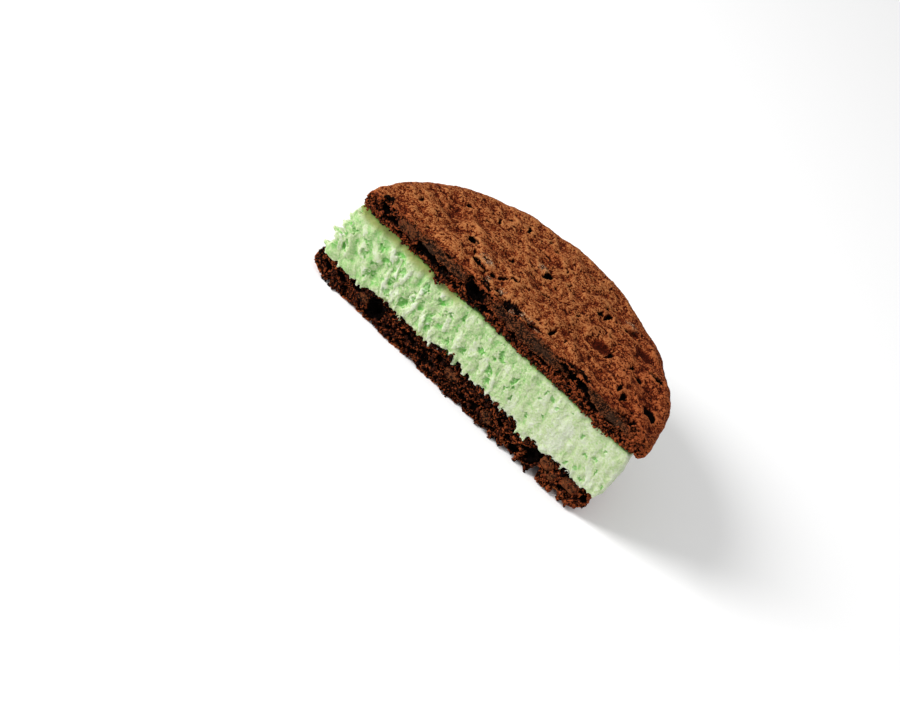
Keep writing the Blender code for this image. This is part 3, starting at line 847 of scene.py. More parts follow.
# Raised ridges that the scoop left: place, height, half width, half height, turn
ICE_RIDGES = (
    (-25.9, 17.5, 0.6, 2.8, -8),
    (-25.9, 11.6, 0.7, 3.2, 8),
    (-20.4, 18.2, 0.5, 1.8, 0),
    (-21.2, 15.0, 0.5, 1.5, -20),
    (-20.5, 11.4, 0.55, 2.6, -8),
    (-16.2, 11.4, 0.5, 2.6, 25),
    (-28.6, 17.9, 0.5, 2.2, 20),
    (-29.0, 12.4, 0.5, 3.4, 14),
    (-31.2, 19.8, 0.5, 1.5, 25),
    (-35.6, 12.0, 0.7, 3.0, 30),
    (-34.8, 17.0, 0.7, 2.2, 50),
    (-38.9, 15.6, 1.1, 2.2, 40),
    (-43.8, 12.4, 0.5, 2.0, 20),
    (-40.6, 20.0, 0.6, 1.4, 30),
    (-7.0, 20.8, 0.6, 1.8, 0),
    (-7.2, 15.8, 0.7, 2.8, 10),
    (-11.2, 16.0, 0.6, 2.2, 5),
    (-12.8, 10.6, 0.5, 1.6, 15),
    (-15.9, 21.2, 0.5, 1.2, -10),
    (-2.6, 16.5, 0.6, 2.4, 5),
    (1.8, 14.0, 0.7, 2.4, 10),
    (6.2, 11.0, 0.6, 2.8, 8),
    (6.6, 17.0, 0.7, 2.2, 0),
    (12.8, 12.0, 0.8, 2.8, 12),
    (21.3, 19.6, 0.5, 1.8, 0),
    (26.2, 14.0, 2.2, 4.6, 0),
    (37.3, 12.2, 0.6, 3.0, 27),
)
# Notches between the spikes of the torn left end: depth, height, half sizes, turn
END_NOTCHES = (
    (1.0, 18.2, 3.0, 0.6, 0),
    (1.0, 15.0, 3.0, 0.7, 0),
    (1.0, 11.3, 3.0, 0.5, 0),
    (1.0, 22.0, 3.0, 0.5, 0),
)


def across_ridges(graph, place):
    """A place whose first number runs across the slanting ridges."""
    x, y, z = graph.parts(place)
    slant = x.below(-44.0, -22.0) * 0.85 + x.within(34.0, 40.0, 2.0) * 0.35 + 0.12
    return graph.joined(x + (z - 15.0) * slant, y, z)


def torn_height(graph, place, coarse):
    """Millimetres above the cut: upright ridges, rounded lumps and fine grain."""
    ridged = graph.stretched(graph.warped(across_ridges(graph, place), 0.4, 0.6), (0.55, 0.4, 0.14))
    upright = graph.noise(ridged, 1.0, 3.0, 0.6)
    warp = graph.warped(place, 0.6, 0.6)
    x = graph.parts(place)[0]
    along, deep, high = graph.parts(warp)
    crests = marks(graph, along, high, ICE_RIDGES, graph.noise(place, 1.6, 2.0, 0.7) * 2.8 - 0.5, 0.95)
    lumps = graph.noise(graph.stretched(graph.warped(place, 0.5, 0.8), (1.0, 1.0, 0.7)), 0.55, 2.0)
    grain = graph.noise(place, 1.7, 3.0, 0.7)
    tall = (crests * (0.3 - x.above(-14.0, -8.0) * 0.15) + upright * 0.8 + lumps * 0.5) * coarse
    return tall + grain * 0.38, crests


def ice_relief(graph, geometry):
    place = graph.place()
    x, y, z = graph.parts(place)
    coarse = x.below(4.0, 24.0) * 0.5 + 0.5 - x.below(-36.0, -26.0) * 0.5
    warp = graph.warped(place, 0.75, 0.75)
    along, deep, high = graph.parts(warp)
    band = z + graph.noise(place, 0.3, 2.0) * 2.0
    # An olive band below the upper cookie, melted and with painted shade from its overhang, and a weaker
    # olive band above the lower cookie
    melted = band.above(20.8, 23.0) * x.below(-15.0, -9.0)
    melted = melted.larger(band.below(8.2, 9.4) * x.within(-29.0, -13.0, 2.0) * 0.6)
    eaten = graph.noise(place, 1.5, 3.0, 0.7)
    placed = marks(graph, along, high, ICE_PITS, eaten * 4.5 + 0.2, 0.8) * y.below(2.0, 4.0)
    height, ridges = torn_height(graph, place, coarse)
    torn = graph.noise(graph.stretched(warp, (1.0, 1.0, 0.7)), 0.8, 3.0, 0.7)
    pits = placed.larger((torn - ridges * 0.3).above(0.06, 0.26) * coarse * 0.8) * (1.0 - melted)
    notched = marks(graph, deep, high, END_NOTCHES, eaten * 2.0) * x.below(-46.0, -42.5)
    crumbed = [(at, up, size, size * 1.2, 0.0) for at, up, size in LOWER_CLUMPS if up > 7.5]
    covered = marks(graph, x, z, crumbed, eaten) * y.below(1.0, 2.0)
    height = height * (1.0 - melted * 0.72) - pits * (0.42 - x.above(12.0, 18.0) * 0.16) - covered
    geometry = stored(graph, geometry, "pit", pits)
    geometry = stored(graph, geometry, "ridge", ridges)
    geometry = stored(graph, geometry, "melted", melted)
    bitten = graph.joined(notched * (1.6 * MM), 0.0, 0.0)
    geometry = graph.node("GeometryNodeSetPosition", None, {"Geometry": geometry, "Offset": bitten})
    geometry = raised(graph, geometry, height)
    geometry = with_cavity(graph, geometry, "fine", 6, 0.5)
    return with_cavity(graph, geometry, "broad", 60, 1.4)


def crumb_shape(graph):
    """A ball of a few dozen faces."""
    sides = {"Vertices X": 3, "Vertices Y": 3, "Vertices Z": 3}
    cube = graph.node("GeometryNodeMeshCube", None, sides)
    here = graph.node("GeometryNodeInputPosition")
    ball = graph.vector("NORMALIZE", here)
    return graph.node("GeometryNodeSetPosition", None, {"Geometry": cube, "Position": ball})


def scattered(graph, surface, density, spacing, smallest, largest, drop):
    """Crumbs on a surface, each one uneven, with a tone of its own."""
    settings = {"Mesh": surface, "Distance Min": spacing * MM, "Density Max": 3.0e6}
    settings |= {"Density Factor": density, "Seed": 4}
    method = {"distribute_method": "POISSON"}
    points = graph.node("GeometryNodeDistributePointsOnFaces", method, settings)
    place = graph.place()
    chance = graph.node("ShaderNodeTexWhiteNoise", None, {"Vector": place}, output="Value")
    turn = graph.node("ShaderNodeTexWhiteNoise", None, {"Vector": place}, output="Color")
    points = stored(graph, points, "tone", chance)
    shift = graph.joined(0.0, 0.0, drop * -MM)
    points = graph.node("GeometryNodeSetPosition", None, {"Geometry": points, "Offset": shift})
    size = (chance * chance * (largest - smallest) + smallest) * MM
    inputs = {"Points": points, "Instance": crumb_shape(graph), "Scale": size}
    inputs["Rotation"] = graph.vector("SCALE", turn, 6.28)
    copies = graph.node("GeometryNodeInstanceOnPoints", None, inputs)
    mesh = graph.node("GeometryNodeRealizeInstances", None, {"Geometry": copies})
    uneven = graph.noise(graph.place(), 1.7, 2.0, 0.6) * 1.3
    return raised(graph, mesh, uneven)


def upper_crumbs(graph, surface):
    place = graph.place()
    x, y, z = graph.parts(place)
    knifed = graph.attribute("crust").below(0.2, 0.5)
    low = z.below(26.2, 27.4)
    ends = x.below(-36.0, -34.0).larger(x.above(37.5, 39.0))
    patchy = graph.noise(place, 0.35, 2.0).above(-0.12, 0.05)
    broken = marks(graph, x, y, BROKEN_EDGE)
    dense = knifed * y.below(1.0, 1.6) * low.larger(ends) * (patchy * 0.7 + 0.3)
    dense = dense.larger(broken * 0.5) * (1.0 - graph.attribute("hollow"))
    hanging = x.within(-24.0, -12.0, 2.0) * 0.3 + x.within(29.0, 36.0, 1.5) * 0.25 + 0.2
    drop = z.below(24.8, 26.2) * y.below(0.8, 1.2) * hanging
    return scattered(graph, surface, dense, 0.52, 0.14, 0.42, drop)


def lower_crumbs(graph, surface):
    place = graph.place()
    x, y, z = graph.parts(place)
    knifed = graph.attribute("crust").below(0.2, 0.5)
    patchy = graph.noise(place, 0.35, 2.0).above(-0.15, 0.05)
    dense = knifed * y.below(1.6, 2.2) * (patchy * 0.75 + 0.25) * (1.0 - graph.attribute("hollow"))
    rising = x.within(-10.0, 1.0, 2.0) * 0.6 + x.within(4.0, 16.0, 2.0) * 0.3 + 0.2
    drop = z.above(7.0, 8.0) * rising * -1.0 + z.below(0.3, 1.2) * 0.3
    return scattered(graph, surface, dense, 0.6, 0.15, 0.48, drop)


# ---------------------------------------------------------------- materials


def new_material(name):
    material = bpy.data.materials.new(name)
    material.use_nodes = True
    return material, Graph(material.node_tree), material.node_tree.nodes["Principled BSDF"]


def bumped(graph, shader, height, strength, distance):
    inputs = {"Strength": strength, "Distance": distance * MM, "Height": height}
    graph.feed(shader.inputs["Normal"], graph.node("ShaderNodeBump", None, inputs))


def baked_colour(graph, place, settings, fine, broad, speckle):
    """Red-brown crust: fine light and dark grains, broad patches, darker redder patches in the dents and
    round the pits that are partly painted shade, painted shade in the hollows and creases, and painted black
    shade in the open pits.
    """
    x, y, z = graph.parts(place)
    patches = graph.noise(place, 0.16, 3.0)
    long = graph.stretched(place, (1.0, 0.6, 1.0))
    grit = (0.36 - graph.cells(long, 2.6)) * 0.55 + graph.noise(long, 2.0, 3.0, 0.75) * 0.32
    stain = graph.attribute("stain") * (grit * 1.5 + 1.0)
    # Darker crust: painted shade round the cavities, in the crack creases and in the dents, and darker near
    # the cut and towards the right
    shade_and_darkening = stain * 0.06 + graph.attribute("crack") * 0.42 + y.below(0.4, 2.4) * 0.08
    shade_and_darkening = shade_and_darkening + graph.attribute("dim") * 0.7 + x.above(4.0, 30.0) * 0.035
    tone = fine * 0.5 + broad * 0.58 + speckle * 2.2 + grit + patches * 0.6 + 0.59 - shade_and_darkening
    tone = tone * (1.0 - stain * 0.36)
    redder = (x.above(8.0, 38.0) * 0.7).larger(z.below(25.0, 30.0) * 0.8).larger(stain) + 0.34
    redder = (redder + y.below(0.4, 2.4) * 0.6 + graph.attribute("crack") * 0.6).clamped()
    baked = graph.ramp(
        tone.clamped(),
        (0.08, settings.crust_pit),
        (0.3, settings.crust_dark),
        (0.52, settings.crust_colour),
        (0.85, settings.crust_light),
    )
    rosy = graph.ramp(
        (tone - 0.04).clamped(),
        (0.12, settings.crust_pit),
        (0.4, settings.crust_wine),
        (0.75, settings.crust_red),
    )
    baked = graph.blend(redder * 0.75, baked, rosy)
    # Painted pale glints over the chips, partly their grey bloom
    chip_bloom_and_glint = graph.attribute("bloom") * graph.noise(place, 2.8, 3.0, 0.8).above(0.05, 0.13)
    baked = graph.blend(chip_bloom_and_glint * 0.85, baked, settings.crust_bloom_and_glint)
    # Painted black shade in the open pits
    return graph.blend(graph.attribute("open").above(0.25, 0.8), baked, settings.crumb_pit)


def crumb_colour(graph, place, settings, fine, broad, speckle, lift):
    """Moist crumb: dark crumbs, painted black shade in the gaps and round the cavities, and red-brown lit
    edges as painted highlight.
    """
    x, y, z = graph.parts(place)
    clump = graph.noise(graph.warped(place, 1.0, 0.5), 0.9, 2.0, 0.7)
    specks = graph.noise(place, 2.6, 3.0, 0.8)
    coarser = z.below(9.0, 12.0) * (x.below(-34.0, -28.0) + x.above(25.0, 29.0))
    tone = fine * 1.3 + broad * 0.9 + specks * (coarser * 0.8 + 2.3) + clump * 0.9
    # Painted shade round the cavities (dim) and in the gaps between the crumbs (gap)
    tone = tone + lift - graph.attribute("dim") * 0.7
    moist = graph.ramp(
        (tone - graph.attribute("gap") * 0.3).clamped(),
        (0.28, settings.crumb_pit),
        (0.5, settings.crumb_colour),
        (0.72, settings.crumb_light),
        (0.95, settings.crumb_bright),
    )
    return graph.blend(speckle.above(0.12, 0.18) * 0.62, moist, settings.crumb_speck)


def cookie_material(name, settings, lift_along):
    """Baked crust outside, dark moist crumb and smeared chocolate where it was cut."""
    material, graph, shader = new_material(name)
    place = graph.place()
    x, y, z = graph.parts(place)
    # fine and broad paint shade into the relief's hollows and highlight onto its raised grains and crumbs
    fine, broad = graph.attribute("fine") - 0.5, graph.attribute("broad") - 0.5
    long = graph.stretched(place, (1.0, 0.6, 1.0))
    speckle = graph.noise(long, 3.5, 2.0, 0.7)
    baked = baked_colour(graph, place, settings, fine, broad, speckle)
    lift = 0.0
    for start, end, change in lift_along:
        lift = x.above(start, end) * change + lift
    moist = crumb_colour(graph, place, settings, fine, broad, speckle, lift)
    greyer = graph.noise(place, 0.22, 2.0).above(-0.1, 0.1)
    smear_light = graph.blend(greyer, settings.smear_brown, settings.smear_colour)
    low = z.below(9.0, 12.0)
    smear_tone = speckle * 5.4 + graph.noise(place, 1.2, 3.0, 0.75) * 5.2 + fine * 0.9 + 0.31
    smear_tone = (smear_tone + low * 0.3).clamped()
    smooth = graph.blend(smear_tone.above(0.22, 0.42), settings.smear_dark, smear_light)
    smooth = graph.blend(smear_tone.above(0.55, 0.85), smooth, settings.smear_light)
    knifed = graph.blend(graph.attribute("smear"), moist, smooth)
    # Painted black shade in the cavities of the cut
    knifed = graph.blend(graph.attribute("hollow").above(0.2, 0.8), knifed, settings.crumb_pit)
    graph.feed(shader.inputs["Base Color"], graph.blend(graph.attribute("crust"), knifed, baked))
    graph.feed(shader.inputs["Roughness"], 0.72 + speckle * 0.5)
    bumped(graph, shader, graph.noise(long, 2.8, 3.0, 0.75), 0.8, 0.38)
    shader.inputs["Specular IOR Level"].default_value = 0.02
    return material


def crumb_material(name, settings):
    """Loose and hanging crumbs, each from near black to red brown."""
    material, graph, shader = new_material(name)
    place = graph.place()
    x, y, z = graph.parts(place)
    lift = x.above(0.0, 34.0) * 0.25 - z.below(9.0, 12.0) * 0.28 + z.within(22.0, 25.0, 0.5) * 0.02
    lift = lift - z.above(26.5, 28.5) * x.within(-30.0, 30.0, 4.0) * 0.22
    tone = graph.attribute("tone") * 0.7 + graph.noise(place, 2.2, 2.0, 0.6) * 1.4 + lift + 0.02
    shade = graph.ramp(
        tone.clamped(),
        (0.1, settings.crumb_pit),
        (0.42, settings.crumb_colour),
        (0.7, settings.crumb_light),
        (1.0, settings.crumb_bright),
    )
    graph.feed(shader.inputs["Base Color"], shade)
    graph.feed(shader.inputs["Roughness"], 0.7 + graph.noise(place, 3.0) * 0.5)
    bumped(graph, shader, graph.noise(place, 3.6, 2.0, 0.7), 0.6, 0.2)
    shader.inputs["Specular IOR Level"].default_value = 0.05
    return material


def ice_material(name, settings):
    """Pale mint, painted deep green in its torn pits as shade, olive in bands along the cookies where it
    melted and, under the upper cookie, as painted shade, and with painted shadow just below the cookie.
    """
    material, graph, shader = new_material(name)
    place = graph.place()
    x, y, z = graph.parts(place)
    # fine and broad paint shade into the torn hollows and highlight onto the raised parts
    fine, broad = graph.attribute("fine") - 0.5, graph.attribute("broad") - 0.5
    speckle = graph.noise(place, 2.2, 2.0, 0.65)
    cloud = graph.noise(place, 0.3, 2.0)
    pale = x.above(6.0, 24.0)
    # ridge lightens the raised ridges as painted highlight
    ridge = graph.attribute("ridge")
    mottle = graph.noise(graph.warped(place, 0.8, 0.5), 0.75, 2.0, 0.6)
    tone = fine * 0.42 + broad * 0.4 + speckle * 0.5 + cloud * 0.5 + mottle * 0.55
    tone = tone + ridge * 0.16 + pale * 0.12 - x.below(-34.0, -26.0) * 0.06 + 0.4
    mint = graph.ramp(
        tone.clamped(),
        (0.1, settings.pit_colour),
        (0.33, settings.shade_colour),
        (0.5, settings.ice_colour),
        (0.75, settings.ridge_colour),
    )
    # Painted shade: the torn pits turn deep green
    sunk = graph.attribute("pit") * (0.66 - x.below(-34.0, -26.0) * 0.12)
    mint = graph.blend(sunk, mint, settings.pit_colour)
    # Olive bands of melted ice cream, with painted shade below the upper cookie's overhang
    mint = graph.blend(graph.attribute("melted") * 0.95, mint, settings.melt_and_shadow_colour)
    under = (z + cloud * 1.5).above(22.9, 24.0) * 0.78
    mint = graph.blend(under, mint, settings.shadow_colour)
    graph.feed(shader.inputs["Base Color"], mint)
    graph.feed(shader.inputs["Roughness"], 0.65 + speckle * 0.4)
    bumped(graph, shader, graph.noise(place, 2.6, 3.0, 0.7), 0.5, 0.2)
    shader.inputs["Specular IOR Level"].default_value = 0.15
    shader.inputs["Subsurface Weight"].default_value = 0.35
    shader.inputs["Subsurface Radius"].default_value = (0.7, 1.0, 0.5)
    shader.inputs["Subsurface Scale"].default_value = 0.8 * MM
    return material


def chocolate_material(name, settings):
    material, graph, shader = new_material(name)
    place = graph.place()
    x, y, z = graph.parts(place)
    smear = graph.noise(graph.stretched(place, (0.7, 1.0, 1.2)), 1.8, 3.0, 0.7)
    speckle = graph.noise(place, 3.0, 1.0)
    grained = (smear * 1.2 + speckle * 1.6 + 0.35).clamped()
    tone = graph.ramp(
        grained,
        (0.1, settings.chunk_dark),
        (0.5, settings.chunk_colour),
        (0.9, settings.chunk_light),
    )
    redder = graph.ramp(
        grained,
        (0.0, settings.chunk_colour),
        (0.35, settings.chunk_red),
        (0.8, settings.chunk_bright),
    )
    browner = (x.below(-29.5, -28.5) * 0.6).larger(z.below(9.0, 12.0))
    graph.feed(shader.inputs["Base Color"], graph.blend(browner, tone, redder))
    graph.feed(shader.inputs["Roughness"], 0.8 + smear * 0.4)
    bumped(graph, shader, smear, 0.6, 0.2)
    shader.inputs["Specular IOR Level"].default_value = 0.03
    return material


def chip_material(name, settings):
    """Dark chocolate with grey bloom and painted pale glints, and a little gloss."""
    material, graph, shader = new_material(name)
    place = graph.place()
    bloom = graph.noise(place, 2.8, 3.0, 0.8)
    # The palest grain of the chips is painted glints, partly their grey bloom
    tone = graph.ramp(
        (bloom * 4.6 + 0.42).clamped(),
        (0.1, settings.chunk_dark),
        (0.4, settings.chunk_red),
        (0.65, settings.chunk_bright),
        (0.9, settings.bloom),
    )
    graph.feed(shader.inputs["Base Color"], tone)
    graph.feed(shader.inputs["Roughness"], 0.55 + bloom * 0.6)
    bumped(graph, shader, graph.noise(place, 2.0, 3.0, 0.7), 0.9, 0.35)
    shader.inputs["Specular IOR Level"].default_value = 0.06
    return material


# ---------------------------------------------------------------- settings


def colour_property(name, description, default):
    return bpy.props.FloatVectorProperty(
        name=name, description=description, default=default, subtype="COLOR", min=0.0, max=1.0
    )


def length_property(name, description, default):
    return bpy.props.FloatProperty(
        name=name, description=description, default=default, unit="LENGTH", precision=5
    )


class CookieSettings(bpy.types.PropertyGroup):
    grid: length_property("Grid", "Size of the remade cookie's even faces", 0.3 * MM)
    crust_pit: colour_property("Crust pit", "Colour deep in the crust", (0.025, 0.004, 0.0016))
    crust_dark: colour_property("Crust dark", "Darker crust", (0.088, 0.0085, 0.0026))
    crust_colour: colour_property("Crust", "Main colour of the crust", (0.212, 0.048, 0.0110))
    crust_light: colour_property("Crust light", "Raised grains of crust", (0.398, 0.170, 0.058))
    crust_wine: colour_property("Crust wine", "Darker crust of the rim", (0.078, 0.0085, 0.0030))
    crust_red: colour_property("Crust red", "Redder crust of the rim", (0.325, 0.070, 0.0200))
    # Pale specks over the chips: painted glints, partly grey bloom
    crust_bloom_and_glint: colour_property("Crust bloom", "Pale specks over the chips", (0.60, 0.47, 0.28))
    # Near black that paints the shade between the crumbs, in the cavities and in the open pits
    crumb_pit: colour_property("Crumb pit", "Colour between the crumbs", (0.0016, 0.0005, 0.0003))
    crumb_colour: colour_property("Crumb", "Main colour of the crumb", (0.026, 0.0062, 0.0030))
    # Lit crumbs and their brightest edges: painted highlight
    crumb_light: colour_property("Crumb light", "Lit crumbs", (0.105, 0.019, 0.0062))
    crumb_bright: colour_property("Crumb bright", "Brightest edges", (0.25, 0.056, 0.0165))
    crumb_speck: colour_property("Crumb speck", "Pale specks of the crumb", (0.17, 0.075, 0.040))
    smear_dark: colour_property("Smear dark", "Darkest grain of the smear", (0.0065, 0.0030, 0.0018))
    smear_colour: colour_property("Smear", "Greyer smooth cut part", (0.024, 0.0138, 0.0085))
    smear_brown: colour_property("Smear brown", "Browner smooth cut part", (0.038, 0.0145, 0.0078))
    smear_light: colour_property("Smear light", "Lightest grain", (0.150, 0.045, 0.016))


class IceSettings(bpy.types.PropertyGroup):
    grid: length_property("Grid", "Size of the remade ice cream's even faces", 0.35 * MM)
    # Deep green painted as shade in the torn pits
    pit_colour: colour_property("Pit", "Deepest torn pits", (0.115, 0.36, 0.065))
    shade_colour: colour_property("Shade", "Lower parts", (0.28, 0.418, 0.175))
    ice_colour: colour_property("Ice cream", "Main colour", (0.40, 0.475, 0.270))
    ridge_colour: colour_property("Ridge", "Raised ridges", (0.49, 0.53, 0.405))
    # Olive of the melted bands, with painted shade below the upper cookie
    melt_and_shadow_colour: colour_property("Melted", "Where it melted below the cookie", (0.20, 0.225, 0.060))
    shadow_colour: colour_property("Shadow", "Just below the cookie", (0.12, 0.24, 0.03))


class ChunkSettings(bpy.types.PropertyGroup):
    chunk_dark: colour_property("Dark", "Darker chocolate", (0.011, 0.005, 0.003))
    chunk_colour: colour_property("Chocolate", "Main colour", (0.040, 0.018, 0.0095))
    chunk_light: colour_property("Light", "Smeared chocolate", (0.115, 0.042, 0.0175))
    chunk_red: colour_property("Red", "Browner chunks", (0.115, 0.030, 0.0100))
    chunk_bright: colour_property("Bright", "Brightest grain of the browner chunks", (0.21, 0.062, 0.0200))
    # Pale grain of the chips: painted glints, partly grey bloom
    bloom: colour_property("Bloom", "Grey bloom of the chips in the crust", (0.60, 0.47, 0.32))


class StageSettings(bpy.types.PropertyGroup):
    azimuth: bpy.props.FloatProperty(
        name="Azimuth", description="Camera's turn to the right", default=math.radians(8.8),
        subtype="ANGLE", unit="ROTATION",
    )
    elevation: bpy.props.FloatProperty(
        name="Elevation", description="Camera's height above the table",
        default=math.radians(35.5), subtype="ANGLE", unit="ROTATION",
    )
    roll: bpy.props.FloatProperty(
        name="Roll", description="Camera's turn about its own axis", default=math.radians(38.1),
        subtype="ANGLE", unit="ROTATION",
    )
    distance: length_property("Distance", "From the camera to the cut's middle", 0.6)
    floor_colour: colour_property("Floor", "Colour of the floor", (0.9, 0.9, 0.9))
    key_power: bpy.props.FloatProperty(name="Key", description="Power of the key light",
                                       default=8.2, unit="POWER")
    fill_power: bpy.props.FloatProperty(name="Fill", description="Power of the fill light",
                                        default=2.2, unit="POWER")
    sky_strength: bpy.props.FloatProperty(name="Sky", description="Strength of the white sky",
                                          default=0.56)


# ---------------------------------------------------------------- pieces

ICE_FRINGE_ALONG = (-46.0, -33.0, -31.0, -12.0, -4.0, 0.0, 16.0, 17.5, 20.0, 23.0, 26.0, 27.0, 42.0)
ICE_FRINGE_HEIGHT = (7.2, 7.2, 8.1, 8.3, 9.2, 9.0, 8.7, 7.2, 7.2, 8.2, 7.2, 8.5, 8.4)

# Spikes of the ice cream's torn left end: height, tip, half thickness
END_SPIKES = (
    (16.6, -46.6, 0.9),
    (13.4, -47.6, 1.3),
    (8.6, -47.6, 1.3),
    (19.4, -46.2, 0.9),
)


def add_spike(root, tip, radius):
    """A cone from its root to its tip, both in millimetres from the cut's middle."""
    root, tip = (Vector(point) * MM + Vector((CUT_X, CUT_Y, 0.0)) for point in (root, tip))
    along = tip - root
    deselect_all()
    bpy.ops.mesh.primitive_cone_add(
        vertices=8,
        radius1=radius * MM,
        radius2=0.25 * radius * MM,
        depth=along.length,
        location=(root + tip) / 2,
        rotation=along.to_track_quat("Z", "Y").to_euler(),
    )
    spike = bpy.context.active_object
    bpy.ops.object.transform_apply(location=True, rotation=True, scale=True)
    return spike


def ice_fringe():
    """The small teeth that hang over the lower cookie's cut, and the torn end's spikes."""
    chance = random.Random(11)
    spikes = []
    x = -45.6
    while x < 42.0:
        base = float(np.interp(x, ICE_FRINGE_ALONG, ICE_FRINGE_HEIGHT))
        length = chance.uniform(0.2, 1.3)
        lean = chance.uniform(-0.1, 0.5)
        root = (x - lean, chance.uniform(0.7, 1.2), base + 2.2)
        tip = (x + lean, chance.uniform(-0.1, 0.5), base - length)
        spikes.append(add_spike(root, tip, chance.uniform(0.7, 1.1)))
        x += chance.uniform(0.9, 1.9)
    for height, tip, radius in END_SPIKES:
        root = (tip + 5.0, 1.8, height + 0.3)
        spikes.append(add_spike(root, (tip, 1.2, height), radius * 1.3))
    return spikes


# How bright the crumb is along each cut: from, to, change
UPPER_LIFT = ((-60.0, -50.0, 0.42), (-42.0, -34.0, -0.1), (34.0, 41.0, 0.4))
LOWER_LIFT = ((-60.0, -50.0, 0.02), (-32.0, -24.0, -0.06), (0.0, 18.0, 0.24), (26.0, 30.0, 0.24))

# Lower edge of the upper cookie's hanging crumbs, along the cut
HANG_ALONG = (-44.0, -38.0, -33.0, -28.0, -24.0, -17.0, -12.0, -7.0, -3.0, 10.0, 25.0, 29.0, 33.0, 36.0, 42.0)
HANG_HEIGHT = (24.9, 24.6, 23.9, 24.2, 24.7, 23.3, 24.0, 24.9, 24.2, 23.8, 24.1, 23.8, 23.2, 23.9, 24.9)

# Clumps of the lower cookie that stand over its cut's edges: place, middle's height, radius
LOWER_CLUMPS = (
    (-11.0, 8.2, 0.7),
    (-9.6, 8.7, 0.8),
    (-8.2, 9.0, 0.8),
    (-7.2, 9.6, 0.6),
    (-6.8, 8.6, 0.9),
    (-5.6, 9.8, 0.6),
    (-5.4, 8.8, 0.7),
    (-2.9, 8.8, 0.8),
    (-2.8, 9.4, 0.5),
    (-1.9, 8.6, 0.6),
    (0.4, 8.7, 0.6),
    (2.0, 8.3, 0.5),
    (4.2, 8.6, 0.7),
    (5.6, 8.3, 0.5),
    (7.3, 8.6, 0.6),
    (8.6, 8.2, 0.45),
    (9.9, 8.6, 0.6),
    (11.9, 8.4, 0.6),
    (13.2, 8.1, 0.45),
    (14.9, 8.5, 0.7),
    (16.0, 8.4, 0.6),
    (22.6, 7.8, 0.8),
    (28.0, 8.2, 0.5),
    (30.2, 8.2, 0.5),
    (32.4, 8.1, 0.6),
    (33.2, 8.2, 0.6),
    (-21.0, 7.9, 0.6),
    (-25.3, 7.6, 0.5),
    (-29.8, 7.5, 0.6),
    (8.6, 0.7, 0.6),
    (10.9, 0.5, 0.4),
    (13.5, 0.6, 0.55),
    (16.3, 0.7, 0.5),
    (21.7, 0.7, 0.75),
    (24.9, 0.8, 0.5),
    (29.4, 0.7, 0.8),
    (31.0, 0.7, 0.7),
    (32.6, 0.7, 0.7),
    (35.8, 0.8, 0.7),
    (37.6, 1.0, 0.6),
)


def add_clump(x, z, radius, limit):
    """A ball of crumb that stands out of the cut."""
    middle = Vector((x, radius - 0.6, min(z, limit + 2.0))) * MM + Vector((CUT_X, CUT_Y, 0.0))
    deselect_all()
    bpy.ops.mesh.primitive_ico_sphere_add(subdivisions=2, radius=radius * MM, location=middle)
    clump = bpy.context.active_object
    bpy.ops.object.transform_apply(location=True, rotation=True, scale=True)
    return clump


def hanging_clumps():
    """Crumbs along the upper cookie's lower edge, in front of the ice cream."""
    chance = random.Random(5)
    clumps = []
    x = -43.0
    while x < 42.0:
        low = float(np.interp(x, HANG_ALONG, HANG_HEIGHT)) + chance.uniform(-0.3, 0.4)
        radius = chance.uniform(0.32, 0.55)
        while low < TOP_LOW.z / MM:
            clumps.append(add_clump(x, low + radius, radius, TOP_LOW.z / MM))
            low += radius * 1.3
        x += chance.uniform(0.7, 1.3)
    return clumps


def filled(obj, nodes):
    """Closes the pockets round a cookie's chunks."""
    return join(obj, [resized(copy_of_node(node, node), (1.3, 1.0, 1.35)) for node in nodes])


UPPER_CHUNKS = [name for name in frame["nodes"] if name.startswith("chocolate_chunk_upper")]
LOWER_CHUNKS = [name for name in frame["nodes"] if name.startswith("chocolate_chunk_lower")]


def knifed_faces(centres, normals):
    return (centres[:, 1] < 2.2) & (normals[:, 1] < -0.3)


def add_crumbs(cookie, name, build, settings):
    """Crumbs scattered over a copy of a cookie's surface."""
    crumbs = cookie.copy()
    crumbs.data = cookie.data.copy()
    crumbs.name = crumbs.data.name = name
    crumbs.data.materials.clear()
    bpy.context.scene.collection.objects.link(crumbs)
    run_geometry(crumbs, build)
    crumbs.data.materials.clear()
    crumbs.data.materials.append(crumb_material(name, settings))
    finish_piece(crumbs)


# Chocolate chips that show through the upper crust: place and radius
CRUST_CHIPS = (
    (-14.2, 8.6, 1.6),
    (-0.9, 2.3, 1.0),
    (1.2, 3.1, 0.9),
    (3.2, 3.5, 0.8),
    (6.3, 2.6, 0.8),
    (-4.9, 24.2, 1.3),
    (19.6, 33.0, 1.3),
    (-10.4, 4.1, 0.8),
    (-6.0, 4.6, 0.7),
)
CHIP_STAND = 0.2
CHIP_FLATNESS = 0.7


def add_chips(cookie, settings):
    """Chips sunk in the crust, each one just standing out of it."""
    chips = []
    for x, y, radius in CRUST_CHIPS:
        above = Vector((CUT_X + x * MM, CUT_Y + y * MM, 2.0 * TOP_HIGH.z))
        found, place, normal, face = cookie.ray_cast(above, Vector((0.0, 0.0, -1.0)))
        deselect_all()
        bpy.ops.mesh.primitive_ico_sphere_add(
            subdivisions=4,
            radius=radius * MM,
            location=place + Vector((0.0, 0.0, (CHIP_STAND - CHIP_FLATNESS) * radius * MM)),
            scale=(1.0, 0.85, CHIP_FLATNESS),
        )
        bpy.ops.object.transform_apply(location=True, rotation=True, scale=True)
        chips.append(bpy.context.active_object)
    obj = join(chips[0], chips[1:])
    obj.name = obj.data.name = "chips_in_top_crust"
    run_geometry(obj, chip_relief)
    obj.data.materials.append(chip_material("chip_with_bloom_and_glint", settings))
    finish_piece(obj)


